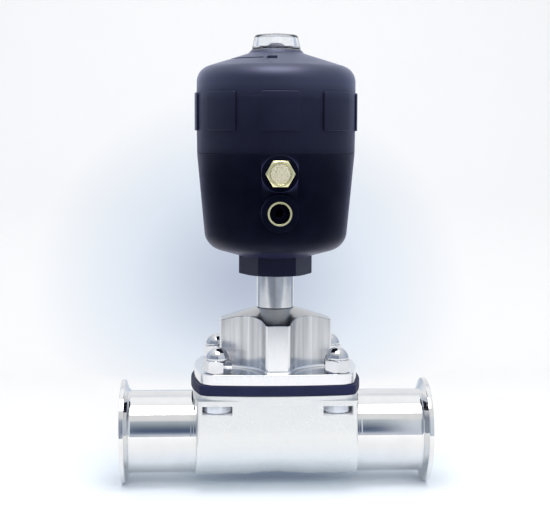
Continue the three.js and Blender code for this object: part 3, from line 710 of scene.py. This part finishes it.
def ferrule(name, side):
    face, rim, outer, tube, bore = 95.0, 2.85, 32.0, 25.4, 23.9
    back = face - rim
    foot = back - (outer - tube) * math.tan(math.radians(20))
    corners = [
        (bore, 46.3),
        (tube, 46.3),
        (tube, 49.9, 0),
        (tube + 0.10, 50.5, 0.4),
        (tube + 0.10, 51.6, 0.4),
        (tube, 52.4, 0),
        (tube, foot, 2.2),
        (outer, back, 0.5),
        (outer, face, 0.4),
        (29.75, face, 0.5),
        (28.15, face - 1.6, 1.0),
        (26.55, face, 0.5),
        (bore, face, 0.2),
    ]
    piece = lathe(name + "_steel", corners, 192, steps=6, place=along_pipe(side))
    return dress(piece, "valve", "polished_steel", TUBE_STEEL, name)


# ------------------------------------------------------------------ diaphragm

BOWL = (26.0, 27.7, 24.6)
BOWL_WALL = 4.0
DIAPHRAGM_TOP = 35.3


def ellipse_loop(half_x, half_y, z, segments=96):
    return [(x * half_x, y * half_y, z) for x, y, _ in circle(1, 0, segments)]


def diaphragm():
    inner = [half - BOWL_WALL for half in BOWL]
    rim = plate("diaphragm_rim", 52, 38.8, FLANGE_TOP + 0.05, DIAPHRAGM_TOP - 0.05, 1.0, corner=3)
    throat = skin("throat", [ellipse_loop(inner[0], inner[1], z) for z in (25, 40)])
    boolean(rim, "DIFFERENCE", throat, *bolt_holes(25, 40))
    dress(rim, "valve", "black_rubber", RUBBER, "diaphragm")

    def half_bowl(halves, start):
        half_x, half_y, depth = halves
        loops = []
        for k in range(24):
            a = math.pi / 2 * k / 24
            scale = math.cos(a)
            loops.append(ellipse_loop(half_x * scale, half_y * scale, start - depth * math.sin(a)))
        return loops + [[(0, 0, start - depth)]]

    top = FLANGE_TOP + 0.05
    bowl = skin("diaphragm_bowl", half_bowl(inner, top)[::-1] + half_bowl(BOWL, top))
    dress(bowl, "valve", "black_rubber", RUBBER, "diaphragm")
    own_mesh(bowl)


# ------------------------------------------------------------------ bonnet

HUB_ARM = 34.3
SCOOP_CENTRE = 40.0
SCOOP_RADIUS = 33.3
HUB_TOP = 77.9
CONE_RADIUS = 11.7
CONE_DROP = 0.315
HUB_CHAMFER = 1.1


def cone_height(p):
    """The hub's top: a straight cone that falls away from its middle."""
    return HUB_TOP - (p.length - CONE_RADIUS) * CONE_DROP


def hub_outline(inset=0.0, fine=26):
    """A square cross whose corners are scooped out round the nuts, with chamfered edges."""
    arm, radius = HUB_ARM - inset, SCOOP_RADIUS + inset
    half = SCOOP_CENTRE - math.sqrt(radius**2 - (SCOOP_CENTRE - arm) ** 2)
    start = math.atan2(half - SCOOP_CENTRE, arm - SCOOP_CENTRE) - HUB_CHAMFER / radius
    end = math.atan2(arm - SCOOP_CENTRE, half - SCOOP_CENTRE) + HUB_CHAMFER / radius
    scoop = arc((SCOOP_CENTRE, SCOOP_CENTRE), radius, start + (TAU if start < end else 0), end, fine)
    flat = half - HUB_CHAMFER
    quarter = scoop + [Vector((flat - 2 * flat * k / 8, arm)) for k in range(9)]
    return [p for turn in range(4) for p in turned_points(quarter, turn * math.pi / 2)]


def turned_points(points, angle):
    return [Matrix.Rotation(angle, 2) @ p for p in points]


def hub():
    foot, crown = 1.6, 0.45
    loops = [at_height(hub_outline(-foot), PLATE_TOP - 1)]
    for k in range(7):
        a = math.pi / 2 * k / 6
        loops.append(at_height(hub_outline(-foot * (1 - math.sin(a))), PLATE_TOP + foot * (1 - math.cos(a))))
    side, lip = hub_outline(), hub_outline(crown)
    loops.append([(p.x, p.y, cone_height(p) - crown) for p in side])
    loops.append([(p.x, p.y, cone_height(p) - 0.3 * crown) for p in hub_outline(0.3 * crown)])
    loops.append([(p.x, p.y, cone_height(p)) for p in lip])
    steps = 12
    for k in range(1, steps + 1):
        loop = []
        for p in lip:
            q = p.normalized() * (p.length + (CONE_RADIUS - p.length) * k / steps)
            loop.append((q.x, q.y, cone_height(q)))
        loops.append(loop)
    return skin("bonnet_steel", loops)


def bonnet():
    piece = hub()
    boolean(piece, "UNION", plate("plate", 50, 38, DIAPHRAGM_TOP, PLATE_TOP, 0.45))
    cavity = [
        (0, 30),
        (26, 30),
        (26, 35.4),
        (20, 39.3),
        (13.5, 39.3),
        (13.5, 64),
        (9.8, 64),
        (9.8, 80),
        (0, 80),
    ]
    boolean(piece, "DIFFERENCE", lathe("cavity", cavity, 96, edge=0), *bolt_holes(30, 43))
    return dress(piece, "valve", "polished_steel", HUB_STEEL, "bonnet", smooth=30)


# ------------------------------------------------------------------ fasteners


def cap_nut(i, x, y):
    """A domed nut: hexagon with cut corners, a neck line and a round dome."""
    hexagon_top, height, dome, bevel_start = 7.8, 15.1, 7.15, 7.35
    outline = hexagon(HEX_FLATS, turn=math.radians(NUT_TURNS[i]))
    loops = [
        on_circle(outline, 5.3, 0.05),
        on_circle(outline, 7.4, 0.05),
        chamfered_below(outline, 7.6, 0.3),
        chamfered(outline, bevel_start, hexagon_top - 0.1),
        on_circle(outline, bevel_start, hexagon_top),
        on_circle(outline, dome - 0.25, hexagon_top + 0.1),
    ]
    centre = height - dome
    for k in range(1, 17):
        a = math.pi / 2 * k / 16
        r, z = (dome - 0.02) * math.cos(a), centre + dome * math.sin(a)
        loops.append([(0, 0, height)] if k == 16 else on_circle(outline, r, z))
    bore = [on_circle(outline, 5.3, 9.0), on_circle(outline, 5.3, 0.05)]
    loops = [[(0, 0, 10.5)], bore[0]] + loops
    nut = skin(f"cap_nut_{i + 1}_chrome", loops)
    nut.data.transform(shift(x, y, PLATE_TOP))
    dress(nut, "valve", "polished_steel", NUT_STEEL, f"cap_nut_{i + 1}", smooth=25)


def flange_bolt(i, x, y):
    """A hexagon bolt whose head lies in the body's corner pocket."""
    head, thread = 5.3, 5.0
    reach = PLATE_TOP - FLANGE_BOTTOM + 9
    outline = hexagon(HEX_FLATS, turn=math.radians(HEAD_TURNS[i]))
    loops = [
        [(0, 0, -head)],
        on_circle(outline, 7.0, -head),
        chamfered_below(outline, 7.2, -head + 0.15),
        chamfered(outline, 8.2, -0.05),
        on_circle(outline, thread, -0.05),
        on_circle(outline, thread, reach - 0.8),
        on_circle(outline, thread - 0.7, reach),
        [(0, 0, reach)],
    ]
    bolt = skin(f"flange_bolt_{i + 1}_steel", loops)
    bolt.data.transform(shift(x, y, FLANGE_BOTTOM))
    dress(bolt, "valve", "satin_steel", HEAD_STEEL, f"flange_bolt_{i + 1}", smooth=25)


# ------------------------------------------------------------------ spindle tube


def spindle_tube():
    corners = [
        (8.6, 66),
        (9.5, 66),
        (9.5, 77.95),
        (11.5, 77.95, 0.35),
        (11.5, 111.7),
        (10, 111.7),
        (10, 128, 0.8),
        (8.6, 128),
        (8.6, 113),
        (6.6, 113),
        (6.6, 75),
        (8.6, 75),
    ]
    piece = lathe("spindle_tube_steel", corners, 128)
    return dress(piece, "valve", "polished_steel", STEM_STEEL, "spindle_tube")


# ------------------------------------------------------------------ actuator

SEAM = 172.2
VENT_Z, AIR_Z = 161.2, 138.0
PORT_FACE = 48.3
CYLINDER = 39.5
COVER_RADIUS = 48.2
PAD_RADIUS = 49.5
DOME_FOOT = (17.0, 232.4)
DOME_SLOPE = 0.315


def neck():
    """The moulded hexagon that a spanner turns to point the air ports."""
    outline = hexagon(39.1, corner=0.8)
    bottom, top = 98.3, 113.0
    loops = [
        on_circle(outline, 11.9, bottom),
        on_circle(outline, 19.2, bottom),
        chamfered_below(outline, 21.5, bottom + 0.3, 0.3),
        at_height(outline, top),
        on_circle(outline, 11.9, top),
    ]
    return skin("neck", loops, wrap=True)


def boss(z):
    corners = [(0, CYLINDER + 2), (10.75, CYLINDER + 2), (10.75, PORT_FACE, 0.45), (0, PORT_FACE)]
    return lathe("boss", corners, 96, place=shift(z=z) @ TO_FRONT)


def port_room(z, drill_z, drill_radius):
    """The room for a port's insert and the air hole from there into the cylinder."""

    def bore(name, radius, start, end, segments, height):
        corners = [(0, start), (radius, start), (radius, end), (0, end)]
        return lathe(name, corners, segments, edge=0, place=shift(z=height) @ TO_FRONT)

    return [bore("room", 7.4, 41.1, 53, 96, z), bore("drill", drill_radius, 36, 45, 32, drill_z)]


def housing():
    corners = [
        (11.9, 109.0),
        (20, 109.0, 0),
        (22.6, 110.1, 0.3),
        (42.9, 115.8, 12),
        (48.1, SEAM, 0.25),
        (43.4, SEAM),
        (43.4, 175.6),
        (41.9, 175.6),
        (41.9, 178.2),
        (43.4, 178.2),
        (43.4, 182),
        (CYLINDER, 182),
        (CYLINDER, 120),
        (10.3, 120),
        (10.3, 112),
        (11.9, 112),
    ]
    piece = lathe("actuator_housing_plastic", corners, 240, steps=10)
    boolean(piece, "UNION", neck(), boss(VENT_Z), boss(AIR_Z))
    boolean(piece, "DIFFERENCE", *port_room(VENT_Z, VENT_Z + 3, 2.0), *port_room(AIR_Z, AIR_Z, 2.5))
    return dress(piece, "actuator", "black_plastic", HOUSING_PLASTIC, "actuator_housing", smooth=28)


def pad(middle):
    """One raised pad: a rounded rectangle bent round the cover."""
    half_angle, bottom, top, corner = math.radians(13.5), 185.9, 208.6, 1.5
    half_width = half_angle * PAD_RADIUS
    height = (top - bottom) / 2
    flat = rounded(
        [(-half_width, -height), (half_width, -height), (half_width, height), (-half_width, height)],
        corner,
        5,
    )
    outline = divided(flat, lambda length: max(1, round(length / 1.5)))

    def level(radius, inset):
        points = []
        for p in outline:
            x = p.x * (1 - inset / half_width)
            z = p.y * (1 - inset / height)
            a = middle + x / PAD_RADIUS - math.pi / 2
            points.append((radius * math.cos(a), radius * math.sin(a), (bottom + top) / 2 + z))
        return points

    edge = 0.45
    loops = [level(COVER_RADIUS - 1.5, -0.1)]
    for k in range(5):
        a = math.pi / 2 * k / 4
        loops.append(level(PAD_RADIUS - edge * (1 - math.sin(a)), edge * (1 - math.cos(a))))
    rows = 12
    for k in range(1, rows):
        loops.append(level(PAD_RADIUS, edge + (half_width - edge) * k / rows))
    return skin("pad", loops)


def spanner_hollow(radius, half_width, start, end, depth, turn):
    """A recess in the sloping top, where a pin spanner turns the cover."""
    outer_edge = DOME_FOOT[1] - (radius + half_width - DOME_FOOT[0]) * DOME_SLOPE
    low, high = outer_edge - depth, DOME_FOOT[1] + 1
    steps = 28
    first, last = (math.radians(-90 - turn - degrees) for degrees in (start, end))
    outer = arc((0, 0), radius + half_width, first, last, steps)
    inner = arc((0, 0), radius - half_width, last, first, steps)
    return skin("hollow", [at_height(outer + inner, z) for z in (low, high)])


def cover():
    bottom = SEAM + 0.2
    shoulder = DOME_FOOT[1] - (COVER_RADIUS - DOME_FOOT[0]) * DOME_SLOPE
    corners = [
        (43.9, bottom),
        (COVER_RADIUS - 0.15, bottom, 0.2),
        (COVER_RADIUS, 184, 0),
        (COVER_RADIUS + 0.1, 205.6, 0),
        (COVER_RADIUS - 0.05, 205.9, 0),
        (COVER_RADIUS + 0.05, 206.2, 0),
        (COVER_RADIUS, shoulder, 14),
        (DOME_FOOT[0], DOME_FOOT[1], 2.2),
        (15.3, 234.4, 0.3),
        (12.2, 234.4),
        (12.2, 226),
        (3, 226),
        (3, 219.5),
        (36, 219.5),
        (43.9, 212),
    ]
    piece = lathe("actuator_cover_plastic", corners, 240, steps=12)
    boolean(piece, "UNION", *[pad(TAU * k / 8) for k in range(8)])
    for turn in (0, 180):
        boolean(piece, "DIFFERENCE", spanner_hollow(28.8, 1.2, 18, 100, 1.2, turn))
        boolean(piece, "DIFFERENCE", spanner_hollow(28.4, 3.2, 1.5, 14, 2.0, turn))
    return dress(piece, "actuator", "black_plastic", COVER_PLASTIC, "actuator_cover", smooth=28)


# ------------------------------------------------------------------ ports, cap and indicator


def port_insert(name, z):
    """A brass insert with its thread cut as a fine spiral."""
    pitch, depth, outer, minor, length = 1.337, 0.35, 7.25, 5.72, 7.0
    segments, rows = 72, 60
    loops = []
    for r, level in ((outer, -length), (outer, -0.2), (outer - 0.2, 0), (6.1, 0), (6.0, -0.08)):
        loops.append(circle(r, level, segments))
    for i in range(rows + 1):
        level = -0.6 - (length - 0.8) * i / rows
        loop = []
        for k in range(segments):
            a = TAU * k / segments
            phase = (level / pitch + k / segments) % 1
            cut = abs(phase - 0.5) * 2
            r = minor + depth * cut
            loop.append((r * math.cos(a), r * math.sin(a), level))
        loops.append(loop)
    loops.append(circle(minor + depth, -length, segments))
    piece = skin(name + "_brass", loops, wrap=True)
    piece.data.transform(shift(y=-PORT_FACE + 0.1, z=z) @ TO_FRONT)
    dress(piece, "actuator", "brass", PORT_BRASS, name, smooth=40)


def silencer():
    """A hexagon plug with a ring of brass round its sintered disc."""
    outline = hexagon(14.9, corner=0.3)
    head, rim = 4.5, 6.35
    loops = [
        [(0, 0, -2)],
        on_circle(outline, 3.5, -2),
        on_circle(outline, 3.5, -6.5),
        on_circle(outline, 5.4, -6.5),
        on_circle(outline, 5.4, 0.2),
        on_circle(outline, 7.2, 0.2),
        chamfered_below(outline, 7.3, 0.35),
        chamfered(outline, 7.2, head - 0.1),
        on_circle(outline, 7.2, head),
        on_circle(outline, rim, head),
        on_circle(outline, 6.2, head - 0.15),
        on_circle(outline, 6.2, head - 1.8),
        [(0, 0, head - 1.8)],
    ]
    piece = skin("silencer_body_brass", loops)
    place = shift(y=-PORT_FACE, z=VENT_Z) @ TO_FRONT
    piece.data.transform(place)
    dress(piece, "actuator", "brass", BRASS, "silencer_body", smooth=25)
    disc = lathe("silencer_disc_bronze", [(0, 2.8), (6.0, 2.8), (6.0, 3.9, 0.5), (0, 4.25)], 96, place=place)
    dress(disc, "actuator", "sintered_bronze", SINTERED, "silencer_disc")


def clear_cap():
    corners = [
        (0, 242.1),
        (10.6, 242.1, 0.9),
        (11.2, 236, 2),
        (9.8, 233),
        (9.8, 227),
        (12.0, 227),
        (12.0, 229.6),
        (10.9, 229.6),
        (10.9, 231.4),
        (12.0, 231.4),
        (12.0, 234.45, 0),
        (14.8, 234.45, 0.2),
        (14.7, 236, 0),
        (13.0, 243.5, 1.5),
        (6, 243.95, 0),
        (0, 244.05),
    ]
    piece = lathe("clear_cap_plastic", corners, 128, edge=0.2, steps=6)
    return dress(piece, "actuator", "clear_plastic", CLEAR, "clear_cap")


def indicator_guide():
    dome, bore, top = 6.9, 3.0, 238.0
    centre = top - math.sqrt(dome**2 - bore**2)
    crown = [(r, centre + math.sqrt(dome**2 - r * r), 0) for r in (5.6, 5.3, 4.9, 4.4, 3.9, 3.4, bore)]
    corners = [(bore, 226.2), (8.6, 226.2), (8.6, 228.4), (5.6, 228.4), *crown]
    piece = lathe("indicator_guide_plastic", corners, 96)
    return dress(piece, "actuator", "black_plastic", GUIDE_PLASTIC, "indicator_guide")


# ------------------------------------------------------------------ springs

SPRING_FOOT, SPRING_CEILING = 152.3, 217.0


def spring(name, radius, wire, turns):
    """A compression spring with closed ends."""
    bottom, top = SPRING_FOOT + wire, SPRING_CEILING - wire
    steps, sides = round(turns * 48), 14
    up = Vector((0, 0, 1))
    section = [TAU * k / sides for k in range(sides)]
    loops = []
    for i in range(steps + 1):
        t = i / steps
        rise = t - 0.4 * math.sin(TAU * t) / TAU
        a = TAU * turns * t
        centre = Vector((radius * math.cos(a), radius * math.sin(a), bottom + (top - bottom) * rise))
        out = Vector((math.cos(a), math.sin(a), 0))
        loops.append([centre + (out * math.cos(b) + up * math.sin(b)) * wire for b in section])
    piece = skin(name + "_wire", loops)
    dress(piece, "actuator", "spring_steel", SPRING_STEEL, name)
    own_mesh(piece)


# ------------------------------------------------------------------ the pieces that stay as CAD

CAD_FINISHES = {
    SATIN_STEEL: [
        "tube_nut",
        "spring_seat",
        "diaphragm_stud",
        "compressor",
        "cross_pin",
        "spindle",
        "piston_washer",
        "piston_nut",
    ],
    ALUMINIUM: ["piston"],
    BRASS: ["packing_gland"],
    RUBBER: ["spindle_packing", "tube_o_ring", "seam_o_ring", "cap_o_ring", "piston_seal"],
    PTFE: ["lower_guide_bush"],
    YELLOW: ["indicator_pin"],
}


def dress_cad_nodes():
    for material, names in CAD_FINISHES.items():
        for name in names:
            node = frame["nodes"][name]
            node.data.materials.clear()
            node.data.materials.append(material)


# ------------------------------------------------------------------ studio

FLOOR_Z = -32.0
CAMERA_AT = Vector((0.55, -767.0, 182.8))
CAMERA_PITCH = 0.0989
CAMERA_ROLL = 0.0042
CAMERA_YAW = -0.001
FOCAL_LENGTH = 81.84
TURNED = 0.054


def camera():
    """The photograph's viewpoint, with the valve turned a little to its right."""
    data = bpy.data.cameras.new("camera")
    data.lens = FOCAL_LENGTH
    data.sensor_width = 36
    obj = bpy.data.objects.new("camera", data)
    SCENE.collection.objects.link(obj)
    forward = Vector(
        (
            math.sin(CAMERA_YAW) * math.cos(CAMERA_PITCH),
            math.cos(CAMERA_YAW) * math.cos(CAMERA_PITCH),
            -math.sin(CAMERA_PITCH),
        )
    )
    right = Vector((math.cos(CAMERA_YAW), -math.sin(CAMERA_YAW), 0))
    up = right.cross(forward)
    right, up = (
        right * math.cos(CAMERA_ROLL) + up * math.sin(CAMERA_ROLL),
        up * math.cos(CAMERA_ROLL) - right * math.sin(CAMERA_ROLL),
    )
    turn = Matrix.Rotation(-TURNED, 4, "Z")
    matrix = Matrix((right, up, -forward)).transposed().to_4x4()
    matrix.translation = CAMERA_AT * MM
    obj.matrix_world = turn @ matrix
    SCENE.camera = obj


# The paper's colours, with painted shade and painted shadow: greyer and bluer towards the middle of a
# painted shade behind the valve, times a painted shadow round the valve's foot, bluish and darkest just
# under the body.
# Painted shade behind the valve: the paper greys and blues towards its middle.
SHADE_BEHIND_VALVE_AT, SHADE_BEHIND_VALVE_SIZE = (0, 0.50, 0.03), (0.22, 0.24, 0.20)
SHADE_BEHIND_VALVE = [(0.0, (0.98, 0.98, 0.98)), (0.45, (0.77, 0.83, 0.90)), (0.9, (0.47, 0.52, 0.63))]
# Painted shadow round the valve's foot: bluish, and darkest just under the body.
FOOT_SHADOW_AT, FOOT_SHADOW_SIZE = (0, 0.02, FLOOR_Z * MM), (0.20, 0.09, 0.09)
FOOT_SHADOW = [
    (0.0, (0.90, 0.89, 0.88)),
    (0.4, (0.87, 0.92, 0.98)),
    (0.68, (0.87, 0.94, 1.0)),
    (0.92, (0.48, 0.56, 0.70)),
]
FLOOR_HALF, FLOOR_NEAR = 1000, -660
WALL_HALF, WALL_HEIGHT = 430, 650
BEND_AT, BEND_RADIUS, BEND_STEPS = 350, 150, 24


def pale_paper():
    n = Nodes("pale_paper")

    def nearness(place, size):
        mapping = n.add("ShaderNodeMapping", vector_type="TEXTURE")
        mapping.inputs["Location"].default_value = place
        mapping.inputs["Scale"].default_value = size
        n.link(n.place, mapping.inputs["Vector"])
        gradient = n.add("ShaderNodeTexGradient", gradient_type="SPHERICAL")
        n.link(mapping.outputs["Vector"], gradient.inputs["Vector"])
        return gradient.outputs["Fac"]

    # Painted shade on the sweep behind the valve.
    backdrop_shade = n.ramp(nearness(SHADE_BEHIND_VALVE_AT, SHADE_BEHIND_VALVE_SIZE), SHADE_BEHIND_VALVE)
    # Painted shadow on the paper round and under the valve's foot.
    foot = n.ramp(nearness(FOOT_SHADOW_AT, FOOT_SHADOW_SIZE), FOOT_SHADOW)
    n.set("Base Color", n.mix(1.0, backdrop_shade, foot, "MULTIPLY"))
    n.set("Roughness", 0.8)
    n.set("Specular IOR Level", 0.2)
    return n.material


def backdrop():
    """A paper floor with a narrower strip that sweeps up behind the valve."""
    profile = [(FLOOR_HALF, FLOOR_NEAR, 0), (FLOOR_HALF, 0, 0), (FLOOR_HALF, BEND_AT - 1, 0)]
    for k in range(BEND_STEPS + 1):
        a = math.pi / 2 * k / BEND_STEPS
        profile.append((WALL_HALF, BEND_AT + BEND_RADIUS * math.sin(a), BEND_RADIUS * (1 - math.cos(a))))
    profile.append((WALL_HALF, BEND_AT + BEND_RADIUS, WALL_HEIGHT))
    bm = bmesh.new()
    rows = [
        [bm.verts.new(Vector((x, y, z + FLOOR_Z)) * MM) for x in (-half, half)] for half, y, z in profile
    ]
    for low, high in zip(rows, rows[1:]):
        bm.faces.new((low[0], low[1], high[1], high[0]))
    mesh = bpy.data.meshes.new("sweep")
    bm.to_mesh(mesh)
    bm.free()
    mesh.shade_smooth()
    mesh.materials.append(pale_paper())
    obj = bpy.data.objects.new("sweep", mesh)
    SCENE.collection.objects.link(obj)


# Room light by height of view (-1 straight down, 1 straight up): straight in front of the
# valve, where the photographer's dark shape stands, then to its left, its right and behind it.
ROOM_FRONT = [
    (-0.24, (0.03, 0.03, 0.04)),
    (-0.19, (0.06, 0.06, 0.07)),
    (-0.15, (0.36, 0.39, 0.44)),
    (-0.06, (0.62, 0.65, 0.70)),
    (0.00, (0.72, 0.77, 0.85)),
    (0.03, (0.62, 0.67, 0.78)),
    (0.09, (0.36, 0.42, 0.55)),
    (0.12, (0.20, 0.25, 0.36)),
    (0.20, (0.10, 0.14, 0.24)),
    (0.30, (0.13, 0.17, 0.26)),
    (0.39, (0.22, 0.27, 0.34)),
    (0.47, (0.33, 0.39, 0.45)),
    (0.56, (0.46, 0.53, 0.60)),
    (0.62, (0.55, 0.60, 0.65)),
    (0.67, (0.95, 0.97, 1.00)),
    (0.76, (1.00, 1.00, 1.00)),
]
ROOM_LEFT = [
    (-0.24, (0.03, 0.03, 0.04)),
    (-0.15, (0.28, 0.31, 0.37)),
    (0.00, (0.40, 0.46, 0.57)),
    (0.55, (0.38, 0.43, 0.52)),
    (0.67, (0.90, 0.92, 0.95)),
]
ROOM_RIGHT = [
    (-0.24, (0.10, 0.10, 0.12)),
    (-0.15, (0.46, 0.50, 0.58)),
    (0.00, (0.74, 0.81, 0.93)),
    (0.55, (0.86, 0.92, 1.00)),
    (0.67, (1.00, 1.00, 1.00)),
]
ROOM_BACK = [
    (-0.2, (0.52, 0.59, 0.72)),
    (0.3, (0.66, 0.75, 0.90)),
    (0.75, (0.90, 0.95, 1.02)),
    (0.9, (1.3, 1.32, 1.34)),
]
ROOM_STRENGTH = 0.85
SEEN_WORLD = (1.12, 1.13, 1.14)


def area(name, at, target, size, power, colour):
    data = bpy.data.lights.new(name, "AREA")
    data.shape = "RECTANGLE"
    data.size, data.size_y = size[0] * MM, size[1] * MM
    data.energy = power
    data.color = colour
    obj = bpy.data.objects.new(name, data)
    SCENE.collection.objects.link(obj)
    at, target = Vector(at) * MM, Vector(target) * MM
    facing = (target - at).to_track_quat("-Z", "Y").to_matrix().to_4x4()
    obj.matrix_world = Matrix.Translation(at) @ facing
    return obj


def world():
    """Soft room light: pale above and behind, dark in front; plain where the camera sees it."""
    shade = bpy.data.worlds.new("studio")
    SCENE.world = shade
    shade.use_nodes = True
    room = Tree(shade.node_tree)
    look = room.axes(room.add("ShaderNodeTexCoord").outputs["Generated"])
    height = room.level(look["Z"], -1, 1)

    def by_height(stops):
        return room.ramp(height, [((z + 1) / 2, colour) for z, colour in stops])

    def across(axis, low, high, first, second):
        return room.mix(room.level(look[axis], low, high, "SMOOTHSTEP"), first, second)

    light = across("X", -0.075, -0.055, by_height(ROOM_LEFT), by_height(ROOM_FRONT))
    light = across("X", 0.135, 0.16, light, by_height(ROOM_RIGHT))
    light = across("Y", -0.45, 0.25, light, by_height(ROOM_BACK))
    seen = room.add("ShaderNodeLightPath").outputs["Is Camera Ray"]
    background = room.tree.nodes["Background"]
    room.link(room.mix(seen, light, SEEN_WORLD), background.inputs["Color"])
    background.inputs["Strength"].default_value = ROOM_STRENGTH


def studio():
    camera()
    backdrop()
    world()
    area("top_softbox", (0, -300, 930), (0, 0, 60), (520, 480), 3.8, (1.0, 0.985, 0.96))
    fill = area("front_fill", (0, -1100, 700), (0, 0, 0), (1400, 700), 6.7, (1.0, 0.985, 0.965))
    fill.visible_glossy = False
    SCENE.view_settings.view_transform = "Standard"


valve_body()
ferrule("inlet_ferrule", -1)
ferrule("outlet_ferrule", 1)
diaphragm()
bonnet()
for number, (bolt_x, bolt_y) in enumerate(BOLTS):
    cap_nut(number, bolt_x, bolt_y)
    flange_bolt(number, bolt_x, bolt_y)
spindle_tube()
housing()
cover()
port_insert("air_port_insert", AIR_Z)
port_insert("vent_port_insert", VENT_Z)
silencer()
clear_cap()
indicator_guide()
spring("outer_spring", 28, 2.6, 6)
spring("inner_spring", 17, 1.8, 8)
dress_cad_nodes()
studio()
